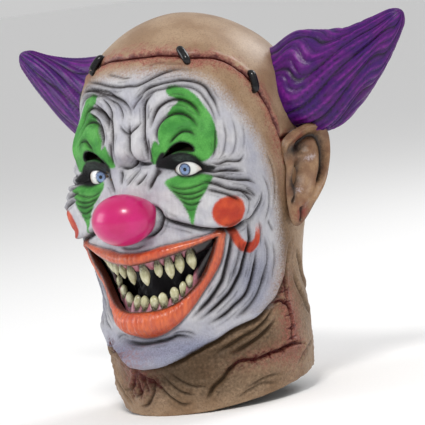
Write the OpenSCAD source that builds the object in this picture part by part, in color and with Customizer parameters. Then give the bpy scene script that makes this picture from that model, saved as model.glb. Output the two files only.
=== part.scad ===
// Full overhead latex clown mask: a hollow rubber head worn over the wearer's own,
// with a stapled-on scalp, glued hair tufts, ears, nose, teeth and acrylic eyes.
// Millimetres. +Z up, the face looks along -Y, and the wearer's left is +X.
// The origin is the centre of the neck opening that the wearer's neck fills.

/* [Head] */
// Height of the crown above the centre of the neck opening
crown_z = 325; // [315:1:335]
// Thickness of the latex
wall = 3; // [2.5:0.5:4]
// How far the front of the neck rim hangs below its centre
rim_drop = 13; // [8:1:15]
// Height of the scalp seam across the forehead
seam_front_z = 293; // [284:1:296]
// Height of the scalp seam behind the ears
seam_back_z = 207; // [200:1:225]

/* [Eyes] */
// Radius of an acrylic eyeball
eye_r = 15.5; // [14:0.5:17]
// Half the distance between the eyeball centres
eye_x = 44; // [40:1:48]
// Height of the eyes
eye_z = 195; // [190:1:200]
// Radius of an iris
iris_r = 5.2; // [4.6:0.2:7]
// Way the irises look, towards the wearer's left, in degrees
gaze = 10; // [-20:1:20]

/* [Nose] */
// Half the width of the nose ball
nose_w = 29; // [20:1:30]
// Half the height of the nose ball
nose_h = 22; // [15:1:24]
// Height of the nose ball's centre
nose_z = 160; // [155:1:165]

/* [Mouth] */
// Half the width of the mouth opening
mouth_w = 67; // [60:1:70]
// Height of the middle of the opening's upper edge
mouth_top_z = 121; // [117:1:125]
// Height of the middle of the opening's lower edge
mouth_low_z = 78; // [72:1:84]
// Height of the mouth corners
mouth_corner_z = 136; // [130:1:140]

/* [Hair and ears] */
// Sideways reach of a tuft's tip
tuft_x = 204; // [180:1:215]
// Height of the left tuft's tip
tuft_left_z = 302; // [290:1:315]
// Height of the right tuft's tip
tuft_right_z = 303; // [290:1:315]
// Height of an ear
ear_h = 86; // [70:1:95]

/* [Hidden] */

// Columns round the head, and the angle of one
cols = 48;
step = 360 / cols;
// Glue gap left between castings that meet
glue = 0.2;

// ---- The head's form ------------------------------------------------------------------
// Level sections below the dome: height, half width, front reach, back reach, middle, squareness
sections = [
    [-15, 82, 86, 80, 0, 2.0],
    [10, 87, 91, 84, 0, 2.0],
    [45, 89, 92, 85, 0, 2.0],
    [90, 88, 94, 80, 0, 2.1],
    [130, 93, 94, 84, 2, 2.2],
    [165, 96, 93, 94, 4, 2.3],
    [200, 97, 93, 101, 6, 2.3],
    [230, 95, 91, 102, 8, 2.2],
    [250, 92, 89, 99, 10, 2.1],
];
// The dome starts here, and its profile has this squareness
dome_z = 250;
dome_power = 1.8;

// Swellings and hollows: angle from the front, height, half spread in angle and height, and rise
swellings = [
    [0, 176, 8, 22, 10], // bridge of the nose
    [0, 203, 11, 8, -13], // root of the nose
    [0, 245, 26, 36, -3], // flat of the forehead
    [0, 126, 26, 16, 11], // upper lip
    [0, 70, 24, 10, 8], // lower lip
    [0, 37, 20, 12, 11], // chin
    [48, 168, 20, 24, 12], // cheeks
    [-48, 168, 20, 24, 12],
    [34, 222, 18, 12, 5], // brows
    [-34, 222, 18, 12, 5],
    [30, 196, 12, 11, -3], // eye sockets
    [-30, 196, 12, 11, -3],
    [40, 96, 16, 26, -6], // hollows beside the mouth
    [-40, 96, 16, 26, -6],
];

// Slope of column k at row i, and the column's smooth value at height z
function slope(i, k) =
    i == 0 || i == len(sections) - 1 ? 0
    : (sections[i + 1][k] - sections[i - 1][k]) / (sections[i + 1][0] - sections[i - 1][0]);
function row_below(z, i = 0) =
    i >= len(sections) - 2 || z < sections[i + 1][0] ? i : row_below(z, i + 1);
function hermite(a, b, ma, mb, t) =
    a * (1 + 2 * t) * pow(1 - t, 2) + ma * t * pow(1 - t, 2)
    + b * t * t * (3 - 2 * t) + mb * t * t * (t - 1);
function at(z, k) =
    let (i = row_below(z), p = sections[i], q = sections[i + 1], h = q[0] - p[0])
    hermite(p[k], q[k], slope(i, k) * h, slope(i + 1, k) * h, max(0, min(1, (z - p[0]) / h)));

// How much of its full size a section still has in the dome, for a surface offset inwards
function dome(z, inset) =
    z <= dome_z ? 1
    : let (t = min(1, (z - dome_z) / (crown_z - inset - dome_z)))
    pow(max(0, 1 - pow(t, dome_power)), 1 / dome_power);

function angle_gap(a, b) = abs((a - b + 540) % 360 - 180);
function swell(a, z) = [for (s = swellings)
    s[4] * exp(-pow(angle_gap(a, s[0]) / s[2], 2) - pow((z - s[1]) / s[3], 2))] * [for (s = swellings) 1];

// Distance from a section's middle to the surface, at angle a from the front
function reach(a, z, inset = 0) =
    let (
        wide = at(z, 1) - inset,
        deep = (cos(a) > 0 ? at(z, 2) : at(z, 3)) - inset,
        n = at(z, 5)
    )
    dome(z, inset) * pow(pow(abs(sin(a)) / wide, n) + pow(abs(cos(a)) / deep, n), -1 / n) + swell(a, z);

// A point on the surface, offset inwards
function on_head(a, z, inset = 0) =
    let (r = reach(a, z, inset)) [r * sin(a), at(z, 4) - r * cos(a), z];

// ---- Edges: the neck rim and the scalp seam ---------------------------------------------
function smooth(lo, hi, x) = let (t = max(0, min(1, (x - lo) / (hi - lo)))) t * t * (3 - 2 * t);
function rim_z(a) = -rim_drop * cos(a);
// The seam is level over the brow and falls to this angle, behind which it runs level again
seam_turn = 88;
seam_curve = 5.4;
function seam_z(a) =
    seam_front_z - (seam_front_z - seam_back_z) * pow(min(1, angle_gap(a, 0) / seam_turn), seam_curve);

// ---- Skinning: closed solids from rings of points -----------------------------------------
function cat(lists) = [for (l = lists) each l];
// Quads between two rings of n points that start at p and q
function band(p, q, n) = cat([for (i = [0:n - 1])
    let (j = (i + 1) % n) [[p + i, q + i, q + j], [p + i, q + j, p + j]]]);
function fan(p, tip, n) = [for (i = [0:n - 1]) [p + i, tip, p + (i + 1) % n]];

// Rings that close on themselves, as the wall of an open tube
module tube_of(rings) {
    n = len(rings[0]);
    m = len(rings);
    polyhedron(cat(rings), cat([for (k = [0:m - 1]) band(k * n, (k + 1) % m * n, n)]), convexity = 10);
}

// Rings from one tip to another, as a filled or cup-shaped body. The outside rings run
// towards the last tip, counterclockwise as seen from it.
module cup_of(rings, first_tip, last_tip) {
    n = len(rings[0]);
    m = len(rings);
    polyhedron(
        concat(cat(rings), [first_tip, last_tip]),
        concat(
            [for (f = fan(0, m * n, n)) [f[0], f[2], f[1]]],
            cat([for (k = [0:m - 2]) band(k * n, (k + 1) * n, n)]),
            fan((m - 1) * n, m * n + 1, n)
        ),
        convexity = 10
    );
}

// ---- The latex skins ----------------------------------------------------------------------
skin_rows = 28;
function ring(z_of, inset) =
    [for (i = [0:cols - 1]) let (a = i * step) on_head(a, z_of[i], inset)];
function skin_heights(t) =
    [for (i = [0:cols - 1]) let (a = i * step, lo = rim_z(a)) lo + t * (seam_z(a) - glue / 2 - lo)];

// The prism that opens the mouth: two curves that meet at the corners
mouth_steps = 12;
low_power = 2.8;
top_power = 1.6;
function mouth_edge(x, mid, power) = mid + (mouth_corner_z - mid) * pow(abs(x) / mouth_w, power);
mouth_x = [for (i = [-mouth_steps:mouth_steps]) mouth_w * i / mouth_steps];
mouth_reach = 130;
module mouth_opening()
    rotate([90, 0, 0]) translate([0, 0, 35]) linear_extrude(mouth_reach)
        polygon(concat(
            [for (x = mouth_x) [x, mouth_edge(x, mouth_low_z, low_power)]],
            [for (i = [len(mouth_x) - 2:-1:1]) [mouth_x[i], mouth_edge(mouth_x[i], mouth_top_z, top_power)]]
        ));

eye_y = -59;
eye_turn = 19;
cut_len = 60;
// An oval hole through the front wall, along a line out past an eye at this distance aside
module oval_hole(side, x, z, w, h, tilt)
    translate([side * x, eye_y + 20, z]) rotate([90, side * tilt, side * eye_turn]) scale([w, h, 1])
        cylinder(r = 1, h = cut_len, $fn = 24);

// Lids cover the edge of the eyeball, and the wearer looks out through the slot above it
module eye_openings(side) {
    oval_hole(side, eye_x - 9, eye_z, 14.5, 7, 0);
    oval_hole(side, eye_x - 12, eye_z + 17, 16, 5, -8);
}

module head_skin() {
    color("ivory") difference() {
        tube_of(concat(
            [for (j = [0:skin_rows]) ring(skin_heights(j / skin_rows), 0)],
            [for (j = [skin_rows:-1:0]) ring(skin_heights(j / skin_rows), wall)]
        ));
        mouth_opening();
        eye_openings(1);
        eye_openings(-1);
    }
}

cap_rows = 9;
// Heights crowd towards the crown, where the dome is flat
function cap_heights(t, inset) = [for (i = [0:cols - 1])
    let (lo = seam_z(i * step) + glue / 2) lo + sin(90 * t) * (crown_z - inset - lo)];

module scalp_cap() {
    middle_y = sections[len(sections) - 1][4];
    color("tan") cup_of(
        concat(
            [for (j = [cap_rows - 1:-1:0]) ring(cap_heights(j / cap_rows, wall), wall)],
            [for (j = [0:cap_rows - 1]) ring(cap_heights(j / cap_rows, 0), 0)]
        ),
        [0, middle_y, crown_z - wall],
        [0, middle_y, crown_z]
    );
}

// ---- Scalp staples --------------------------------------------------------------------------
staple_angles = [37, 74, 145, 215, 286, 323];
staple_len = 17;
staple_r = 2.6;
leg_len = 2.8;
// A staple across the seam: a bar along the skin, standing on two feet glued to it
module staple(a) {
    z = seam_z(a);
    p = on_head(a, z);
    above = on_head(a, z + 4);
    below = on_head(a, z - 4);
    up = (above - below) / norm(above - below);
    pitch = acos(up[2]) * (up * [sin(a), -cos(a), 0] < 0 ? -1 : 1);
    translate(p) rotate([0, 0, a]) rotate([pitch, 0, 0]) translate([0, -leg_len - 0.5, 0]) {
        translate([0, 0, -staple_len / 2]) cylinder(r = staple_r, h = staple_len, $fn = 16);
        for (s = [-1, 1]) translate([0, 0, s * (staple_len / 2 - staple_r)]) {
            rotate([-90, 0, 0]) cylinder(r = staple_r * 0.8, h = leg_len, $fn = 16);
        }
    }
}
module scalp_staples() color("black") for (a = staple_angles) staple(a);

// ---- Castings glued on the head ---------------------------------------------------------------
pad_gap = 1.2;
// An oval ring on the head, round the point at angle a and height z
function oval_on_head(a, z, da, dz, n, off = pad_gap) =
    [for (i = [0:n - 1]) let (t = i * 360 / n) on_head(a + da * cos(t), z + dz * sin(t), -off)];
// Rings that fill such an oval, so that the glued face follows the head
function pad_rings(a, z, da, dz, n, off = pad_gap) =
    [for (f = [0.2, 0.45, 0.72, 1]) oval_on_head(a, z, f * da, f * dz, n, off)];

// ---- Ears -------------------------------------------------------------------------------------
ear_sides = 32;
ear_a = 100;
ear_z = 174;
ear_w = 46;
ear_mid = [107, 28, ear_z];
ear_flare = 18;
ear_lean = 15;
ear_along = [sin(ear_flare), cos(ear_flare), 0];
ear_out = [cos(ear_flare), -sin(ear_flare), 0];
// An ear's outline, wide at the top and leaning back, moved in by one amount and out by another
function ear_ring(shrink, rise, forward = 0) = [for (i = [0:ear_sides - 1])
    let (
        t = i * 360 / ear_sides,
        v = (ear_h / 2 - shrink) * sin(t),
        u = (ear_w / 2 - shrink) * cos(t) * (1 + 0.2 * sin(t)) + v * tan(ear_lean) - forward
    )
    ear_mid + u * ear_along + [0, 0, v] + (rise < 0 ? rise * (1 + cos(t)) / 2 : rise) * ear_out];
module ear(side)
    scale([side, 1, 1]) cup_of(
        concat(
            pad_rings(ear_a, ear_z, 8, 34, ear_sides),
            [ear_ring(2, -5), ear_ring(0, -1), ear_ring(0, 2), ear_ring(4, 3), ear_ring(8, 0), ear_ring(13, -2, 3)]
        ),
        on_head(ear_a, ear_z, -pad_gap),
        ear_mid - 6 * ear_along - 2 * ear_out
    );
module ear_left() color("peru") ear(1);
module ear_right() color("peru") ear(-1);

// ---- Hair tufts ---------------------------------------------------------------------------------
tuft_sides = 24;
tuft_rings = 12;
tuft_skin = 2.5;
tuft_a = 115;
tuft_z = 247;
tuft_da = 21;
tuft_dz = 37;
tuft_tip_y = 50;
// Spine from the scalp to the tip, as a curve with this bend
tuft_bend = [144, 52, 252];
function spine(t, tip_z) =
    pow(1 - t, 2) * on_head(tuft_a, tuft_z, -pad_gap) + 2 * t * (1 - t) * tuft_bend + t * t * [tuft_x, tuft_tip_y, tip_z];
// Half height and half thickness of the fin along its length
function tuft_high(t) = 52 * (1 - t) + 6;
function tuft_thick(t) = 24 * pow(1 - t, 0.9) + 6;
// A ring of the fin, which grows out of the oval where it is glued
function tuft_ring(t, tip_z, inset) =
    let (
        d = spine(t + 0.02, tip_z) - spine(t - 0.02, tip_z),
        across = cross(d, [0, 1, 0]),
        high = across / norm(across),
        h = tuft_high(t) - inset,
        w = tuft_thick(t) - inset,
        k = smooth(0, 0.35, t),
        root = oval_on_head(tuft_a, tuft_z, tuft_da - inset * 0.62, tuft_dz - inset, tuft_sides)
    )
    [for (i = [0:tuft_sides - 1])
        let (a = i * 360 / tuft_sides)
        (1 - k) * (root[i] + spine(t, tip_z) - spine(0, tip_z))
        + k * (spine(t, tip_z) + h * sin(a) * high + w * cos(a) * [0, 1, 0])];
function tuft_body(tip_z, inset, to) = [for (j = [0:tuft_rings]) tuft_ring(to * j / tuft_rings, tip_z, inset)];
hollow_to = 0.8;
module hair_tuft(side, tip_z) {
    inner = tuft_body(tip_z, tuft_skin, hollow_to);
    scale([side, 1, 1]) cup_of(
        concat([for (j = [tuft_rings:-1:0]) inner[j]], tuft_body(tip_z, 0, 0.98)),
        spine(hollow_to + 0.01, tip_z),
        spine(1, tip_z)
    );
}
module hair_tuft_left() color("purple") hair_tuft(1, tuft_left_z);
module hair_tuft_right() color("purple") hair_tuft(-1, tuft_right_z);

// A foam plug keeps each hollow tuft from sagging
module tuft_foam(side, tip_z) {
    inset = tuft_skin + glue + 0.4;
    pad = pad_rings(tuft_a, tuft_z, tuft_da - inset * 0.62, tuft_dz - inset, tuft_sides);
    body = tuft_body(tip_z, inset, hollow_to - 0.04);
    scale([side, 1, 1]) cup_of(
        concat([pad[0], pad[1], pad[2]], body),
        on_head(tuft_a, tuft_z, -pad_gap),
        spine(hollow_to - 0.03, tip_z)
    );
}
module tuft_foam_left() color("khaki") tuft_foam(1, tuft_left_z);
module tuft_foam_right() color("khaki") tuft_foam(-1, tuft_right_z);

// ---- Nose ball --------------------------------------------------------------------------------------
nose_y = -108;
nose_deep = 24;
nose_skin = 2;
nose_sides = 40;
nose_rows = 9;
nose_root = 0.84;
// A ring of the flattened ball, at an angle from its foremost point
function nose_ring(t, inset) = [for (i = [0:nose_sides - 1])
    let (a = i * 360 / nose_sides)
    [(nose_w - inset) * sin(t) * cos(a), nose_y - (nose_deep - inset) * cos(t), nose_z + (nose_h - inset) * sin(t) * sin(a)]];
// The edge of the ball that is glued to the face
function nose_edge(inset) = [for (i = [0:nose_sides - 1])
    let (
        a = i * 360 / nose_sides,
        x = (nose_w - inset) * nose_root * cos(a),
        z = nose_z + (nose_h - inset) * nose_root * sin(a)
    )
    on_head(asin(x / reach(0, z)), z, -pad_gap)];
module nose_ball() {
    turns = [for (j = [1:nose_rows]) 90 * j / nose_rows];
    color("deeppink") cup_of(
        concat(
            [for (t = turns) nose_ring(t, nose_skin)],
            [nose_edge(nose_skin), nose_edge(0)],
            [for (j = [nose_rows - 1:-1:0]) nose_ring(turns[j], 0)]
        ),
        [0, nose_y - nose_deep + nose_skin, nose_z],
        [0, nose_y - nose_deep, nose_z]
    );
}

// ---- Eyes ---------------------------------------------------------------------------------------------
iris_thick = 0.8;
cornea_r = 8.2;
cup_gap = 0.2;
cup_skin = 2;
cup_front = 11;
module eye_place(side) translate([side * eye_x, eye_y, eye_z]) rotate([90, 0, gaze]) children();
module cup_place(side) translate([side * eye_x, eye_y, eye_z]) rotate([90, 0, side * eye_turn]) children();

// The acrylic ball has a flat at the front, where the iris disc is glued
iris_flat = sqrt(eye_r * eye_r - iris_r * iris_r);
module eyeball(side)
    color("white") eye_place(side) difference() {
        sphere(r = eye_r, $fn = 64);
        translate([0, 0, iris_flat]) cylinder(r = eye_r, h = eye_r, $fn = 48);
    }
module eyeball_left() eyeball(1);
module eyeball_right() eyeball(-1);

module iris(side)
    color("lightsteelblue") eye_place(side) translate([0, 0, iris_flat]) cylinder(r = iris_r, h = iris_thick, $fn = 48);
module iris_left() iris(1);
module iris_right() iris(-1);

// A clear dome over the iris
module cornea(side) {
    base = iris_flat + iris_thick;
    centre = base - sqrt(cornea_r * cornea_r - iris_r * iris_r);
    color("lightcyan", 0.4) eye_place(side) intersection() {
        translate([0, 0, centre]) sphere(r = cornea_r, $fn = 64);
        translate([0, 0, base]) cylinder(r = iris_r, h = cornea_r, $fn = 48);
    }
}
module cornea_left() cornea(1);
module cornea_right() cornea(-1);

// A latex cup glued inside holds each eyeball against the lids
module eye_cup(side) {
    outer = eye_r + cup_gap + cup_skin;
    color("dimgray") cup_place(side) difference() {
        sphere(r = outer, $fn = 64);
        sphere(r = eye_r + cup_gap, $fn = 64);
        translate([0, 0, cup_front]) cylinder(r = outer + 1, h = outer + 1, $fn = 48);
    }
}
module eye_cup_left() eye_cup(1);
module eye_cup_right() eye_cup(-1);

// ---- Mouth --------------------------------------------------------------------------------------------
lining_skin = 2;
lining_depth = 17;
lining_angle = 58;
lining_low_z = 40;
lining_top_z = 162;
lining_cols = 22;
lining_rows = 10;
// The lining is glued round its edge and sinks to a pocket behind the teeth
function pocket(u, v) = wall + glue + lining_depth * pow(max(0, (1 - pow(u, 4)) * (1 - pow(v, 4))), 0.8);
function lining_ring(v, back) =
    let (z = lining_low_z + (v + 1) / 2 * (lining_top_z - lining_low_z))
    [for (i = [-lining_cols:2:lining_cols])
        let (u = i / lining_cols) on_head(u * lining_angle, z, pocket(u, v) + back)];
module mouth_lining() {
    n = lining_cols + 1;
    m = lining_rows + 1;
    vs = [for (j = [0:lining_rows]) -1 + 2 * j / lining_rows];
    color("black") polyhedron(
        cat([for (b = [0, 1]) cat([for (v = vs) lining_ring(v, b * lining_skin)])]),
        concat(
            cat([for (j = [0:m - 2], i = [0:n - 2])
                let (p = j * n + i, q = p + n * m)
                [[p, p + 1, p + n + 1], [p, p + n + 1, p + n], [q, q + n + 1, q + 1], [q, q + n, q + n + 1]]]),
            cat([for (i = [0:n - 2]) let (p = i, t = (m - 1) * n + i, k = n * m)
                [[p, p + k, p + k + 1], [p, p + k + 1, p + 1], [t, t + k + 1, t + k], [t, t + 1, t + k + 1]]]),
            cat([for (j = [0:m - 2]) let (p = j * n, t = p + n - 1, k = n * m)
                [[p, p + n + k, p + k], [p, p + n, p + n + k], [t, t + k, t + n + k], [t, t + n + k, t + n]]])
        ),
        convexity = 8
    );
}

// Gums: curved bars behind the lips, at this inset and with this square section
gum_inset = 7;
gum_deep = 6;
gum_high = 9;
gum_angle = 41;
gum_cols = 16;
// Heights of the two tooth rows, which follow the opening's edges a little inside it
gum_shows = 3;
function lip_x(a) = min(mouth_w, abs(93 * sin(a)));
function upper_row_z(a) = mouth_edge(lip_x(a), mouth_top_z, top_power) - gum_shows;
function lower_row_z(a) = mouth_edge(lip_x(a), mouth_low_z, low_power) + gum_shows;
module gum_bar(row, low) {
    corner = [[0, 0], [gum_deep, 0], [gum_deep, gum_high], [0, gum_high]];
    points = [for (i = [-gum_cols:2:gum_cols]) let (a = gum_angle * i / gum_cols, z = row == 0 ? upper_row_z(a) : lower_row_z(a))
        [for (c = corner) on_head(a, z + low + c[1], gum_inset + c[0])]];
    m = len(points);
    polyhedron(
        cat(points),
        concat([[1, 2, 3], [0, 1, 3]], cat([for (k = [0:m - 2]) band(k * 4, (k + 1) * 4, 4)]),
            [[4 * m - 2, 4 * m - 3, 4 * m - 4], [4 * m - 1, 4 * m - 2, 4 * m - 4]]),
        convexity = 6
    );
}
module upper_gum() color("palevioletred") gum_bar(0, 0);
module lower_gum() color("palevioletred") gum_bar(1, -gum_high);

// A tooth is a turned, pointed peg that stands on its gum
module tooth(length, radius)
    rotate_extrude($fn = 24) polygon([[0, 0], [radius * 0.7, 0], [radius, length * 0.35], [radius * 0.75, length * 0.7], [0, length]]);
tooth_inset = gum_inset + gum_deep / 2;
// Uneven teeth: angle from the front, length and radius of each
upper_set = [[-35, 9, 3.2], [-30, 11, 3.4], [-25, 12, 3.6], [-20, 12.5, 3.8], [-14, 13, 4.2], [-7, 17, 4.4],
    [2, 17.5, 4.8], [11, 13, 4], [17, 17, 4.4], [23, 15.5, 4.4], [29, 16, 4.6]];
lower_set = [[-29, 9, 4], [-23, 10, 4.2], [-16, 10.5, 4.4], [-9, 11, 4.4], [-3, 11, 4.4], [4, 10.5, 4.6],
    [10, 11.5, 4.6], [17, 11.5, 4.4], [22, 10.5, 3.6], [27, 9, 3.8]];
module upper_teeth()
    color("palegoldenrod") for (t = upper_set)
        translate(on_head(t[0], upper_row_z(t[0]) - glue, tooth_inset)) rotate([180, 0, 0]) tooth(t[1], t[2]);
module lower_teeth()
    color("palegoldenrod") for (t = lower_set)
        translate(on_head(t[0], lower_row_z(t[0]) + glue, tooth_inset)) tooth(t[1], t[2]);

// ---- The assembly ---------------------------------------------------------------------------------------
head_skin();
scalp_cap();
ear_left();
ear_right();
hair_tuft_left();
hair_tuft_right();
tuft_foam_left();
tuft_foam_right();
nose_ball();
eyeball_left();
eyeball_right();
iris_left();
iris_right();
cornea_left();
cornea_right();
eye_cup_left();
eye_cup_right();
mouth_lining();
upper_gum();
lower_gum();
upper_teeth();
lower_teeth();
scalp_staples();
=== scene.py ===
import math

import bpy
import numpy as np
from mathutils import Matrix, Vector


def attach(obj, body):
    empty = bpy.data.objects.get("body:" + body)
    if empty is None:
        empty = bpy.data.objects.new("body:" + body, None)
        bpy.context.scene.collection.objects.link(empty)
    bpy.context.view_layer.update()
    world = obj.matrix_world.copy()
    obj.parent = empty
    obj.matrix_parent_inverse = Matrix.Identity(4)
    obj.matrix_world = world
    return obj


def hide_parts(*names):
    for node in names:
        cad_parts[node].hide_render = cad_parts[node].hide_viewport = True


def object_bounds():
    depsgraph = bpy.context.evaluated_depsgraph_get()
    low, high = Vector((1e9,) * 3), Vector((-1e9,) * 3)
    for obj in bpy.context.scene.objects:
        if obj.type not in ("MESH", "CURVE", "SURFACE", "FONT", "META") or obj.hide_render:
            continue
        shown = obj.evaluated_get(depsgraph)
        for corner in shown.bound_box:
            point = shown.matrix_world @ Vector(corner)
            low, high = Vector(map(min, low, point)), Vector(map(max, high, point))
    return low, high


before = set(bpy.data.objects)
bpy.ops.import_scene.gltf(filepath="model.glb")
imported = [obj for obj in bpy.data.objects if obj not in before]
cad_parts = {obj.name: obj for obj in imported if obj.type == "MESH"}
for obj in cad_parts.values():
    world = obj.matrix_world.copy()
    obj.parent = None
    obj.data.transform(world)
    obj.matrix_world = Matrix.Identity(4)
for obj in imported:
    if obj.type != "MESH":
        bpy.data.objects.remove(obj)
cad_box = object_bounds()

# ---- Studio -------------------------------------------------------------------------------
# The mask stands on its neck rim on a pale sweep of paper, lit by large soft lamps and a white
# room. The camera looks at its left cheek from a little above, tilted as a hand-held one is.
MM = 0.001  # metres in a millimetre
LOOK_AT = np.array([0.0, 20.0, 145.0])
CAMERA_TURN = math.radians(34)
CAMERA_RISE = math.radians(5)
CAMERA_TILT = math.radians(8)
CAMERA_AWAY = 2500.0
FRAME_ASIDE = 3.96
FRAME_ABOVE = 2.2
VIEW_WIDTH = 374.0
SENSOR = 36.0
level_right = np.array([math.cos(CAMERA_TURN), math.sin(CAMERA_TURN), 0])
look = np.array([
    -math.sin(CAMERA_TURN) * math.cos(CAMERA_RISE),
    math.cos(CAMERA_TURN) * math.cos(CAMERA_RISE),
    -math.sin(CAMERA_RISE),
])
level_up = np.cross(level_right, look)
view_right = level_right * math.cos(CAMERA_TILT) - level_up * math.sin(CAMERA_TILT)
view_up = level_right * math.sin(CAMERA_TILT) + level_up * math.cos(CAMERA_TILT)
eye_point = LOOK_AT + view_right * FRAME_ASIDE + view_up * FRAME_ABOVE - look * CAMERA_AWAY
camera_data = bpy.data.cameras.new("camera")
camera_data.sensor_width = SENSOR
camera_data.lens = SENSOR * CAMERA_AWAY / VIEW_WIDTH
camera_data.clip_end = 100
camera = bpy.data.objects.new("camera", camera_data)
axes = np.eye(4)
axes[:3, 0] = view_right
axes[:3, 1] = view_up
axes[:3, 2] = -look
axes[:3, 3] = eye_point * MM
camera.matrix_world = Matrix(axes.tolist())
bpy.context.scene.collection.objects.link(camera)
bpy.context.scene.camera = camera


def soft_lamp(name, place, aim, size, watts, colour):
    """A square soft box at a place, turned to face a point."""
    data = bpy.data.lights.new(name, "AREA")
    data.size = size
    data.energy = watts
    data.color = colour
    lamp = bpy.data.objects.new(name, data)
    lamp.location = place
    lamp.rotation_euler = (Vector(aim) - Vector(place)).to_track_quat("-Z", "Y").to_euler()
    bpy.context.scene.collection.objects.link(lamp)


soft_lamp("key_lamp", (0.7, -1.3, 1.9), (0, 0, 0.15), 0.45, 25, (1, 0.98, 0.95))
soft_lamp("side_lamp", (-1.6, -0.9, 0.7), (0, 0, 0.15), 0.9, 9, (0.93, 0.96, 1))
soft_lamp("back_lamp", (0.5, 1.6, 1.4), (0, 0, 0.2), 0.8, 14, (1, 1, 1))
room = bpy.data.worlds.new("white_room")
room.use_nodes = True
room.node_tree.nodes["Background"].inputs["Color"].default_value = (1, 1, 1, 1)
room.node_tree.nodes["Background"].inputs["Strength"].default_value = 0.6
bpy.context.scene.world = room
bpy.context.scene.view_settings.view_transform = "Standard"


def put(tree, kind, **settings):
    """Adds a shader node with these settings."""
    node = tree.nodes.new(kind)
    for setting, value in settings.items():
        setattr(node, setting, value)
    return node


def feed(tree, socket, value):
    """Gives a socket a link, a colour or a number."""
    if isinstance(value, bpy.types.NodeSocket):
        tree.links.new(value, socket)
    elif isinstance(value, tuple) and socket.type == "RGBA":
        socket.default_value = (*value, 1)
    else:
        socket.default_value = value


def new_finish(name, roughness=0.5, specular=0.5, coat=0.0, coat_roughness=0.1):
    """A material with its shader's own plain values set; returns it, its tree and its shader."""
    material = bpy.data.materials.new(name)
    material.use_nodes = True
    shader = material.node_tree.nodes["Principled BSDF"]
    shader.inputs["Roughness"].default_value = roughness
    shader.inputs["Specular IOR Level"].default_value = specular
    shader.inputs["Coat Weight"].default_value = coat
    shader.inputs["Coat Roughness"].default_value = coat_roughness
    return material, material.node_tree, shader


def tint(tree, share, under, over, how="MIX"):
    """Lays one colour over another by a share."""
    node = put(tree, "ShaderNodeMix", data_type="RGBA", blend_type=how)
    feed(tree, node.inputs[0], share)
    feed(tree, node.inputs[6], under)
    feed(tree, node.inputs[7], over)
    return node.outputs[2]


def reckon(tree, how, first, second=0.0, third=0.0, clamp=False):
    """One sum on one to three numbers."""
    node = put(tree, "ShaderNodeMath", operation=how, use_clamp=clamp)
    for socket, value in zip(node.inputs, (first, second, third)):
        feed(tree, socket, value)
    return node.outputs[0]


def between(tree, value, low, high, to_low=0.0, to_high=1.0):
    """A smooth step of a value from one range to another."""
    node = put(tree, "ShaderNodeMapRange", interpolation_type="SMOOTHSTEP")
    for socket, number in zip(node.inputs, (value, low, high, to_low, to_high)):
        feed(tree, socket, number)
    return node.outputs[0]


def noise(tree, where, scale, detail=2.0, distortion=0.0):
    """Clouds of noise of this scale."""
    node = put(tree, "ShaderNodeTexNoise")
    feed(tree, node.inputs["Vector"], where)
    feed(tree, node.inputs["Scale"], scale)
    feed(tree, node.inputs["Detail"], detail)
    feed(tree, node.inputs["Distortion"], distortion)
    return node.outputs[0]


def new_group(name, inputs, outputs):
    """A node group with named sockets; returns its tree, its inputs node and its outputs node."""
    tree = bpy.data.node_groups.new(name, "ShaderNodeTree")
    for label, kind, value in inputs:
        socket = tree.interface.new_socket(label, in_out="INPUT", socket_type=kind)
        socket.default_value = value
    for label, kind in outputs:
        tree.interface.new_socket(label, in_out="OUTPUT", socket_type=kind)
    return tree, tree.nodes.new("NodeGroupInput"), tree.nodes.new("NodeGroupOutput")


def place_group(tree, group, **values):
    """Puts a group in a material with its own values, by socket name with _ for a space."""
    node = put(tree, "ShaderNodeGroup", node_tree=group)
    for label, value in values.items():
        feed(tree, node.inputs[label.replace("_", " ")], value)
    return node


# Uneven tone: soft patches and fine speckle that all hand-painted latex has
mottle_group, given, made = new_group(
    "mottle",
    [("Patch Scale", "NodeSocketFloat", 30.0), ("Speckle Scale", "NodeSocketFloat", 400.0)],
    [("Patches", "NodeSocketFloat"), ("Speckle", "NodeSocketFloat"), ("Streaks", "NodeSocketFloat")],
)
where = put(mottle_group, "ShaderNodeTexCoord").outputs["Object"]
for scale_name, out_name in (("Patch Scale", "Patches"), ("Speckle Scale", "Speckle")):
    cloud = noise(mottle_group, where, given.outputs[scale_name], 4.0)
    feed(mottle_group, made.inputs[out_name], between(mottle_group, cloud, 0.32, 0.68))
stretch = put(mottle_group, "ShaderNodeMapping")
feed(mottle_group, stretch.inputs["Vector"], where)
feed(mottle_group, stretch.inputs["Scale"], (1.0, 1.0, 0.22))
cloud = noise(mottle_group, stretch.outputs[0], 420.0)
feed(mottle_group, made.inputs["Streaks"], between(mottle_group, cloud, 0.35, 0.65))

# A layer of brushed greasepaint, whose edge breaks up into the grain of the latex
paint_group, given, made = new_group(
    "brushed_paint",
    [
        ("Under", "NodeSocketColor", (0, 0, 0, 1)),
        ("Paint", "NodeSocketColor", (1, 1, 1, 1)),
        ("Cover", "NodeSocketFloat", 0.0),
        ("Ragged", "NodeSocketFloat", 0.5),
        ("Grain Scale", "NodeSocketFloat", 500.0),
    ],
    [("Color", "NodeSocketColor"), ("Share", "NodeSocketFloat")],
)
where = put(paint_group, "ShaderNodeTexCoord").outputs["Object"]
grain = noise(paint_group, where, given.outputs["Grain Scale"], 3.0)
push = reckon(paint_group, "MULTIPLY", reckon(paint_group, "SUBTRACT", grain, 0.5), 3.0)
push = reckon(paint_group, "MULTIPLY", push, given.outputs["Ragged"])
edge = reckon(paint_group, "MULTIPLY", reckon(paint_group, "SUBTRACT", 1.0, given.outputs["Cover"]), 4.0)
edge = reckon(paint_group, "MULTIPLY", edge, given.outputs["Cover"])
broken = reckon(paint_group, "MULTIPLY_ADD", push, edge, given.outputs["Cover"], clamp=True)
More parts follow.
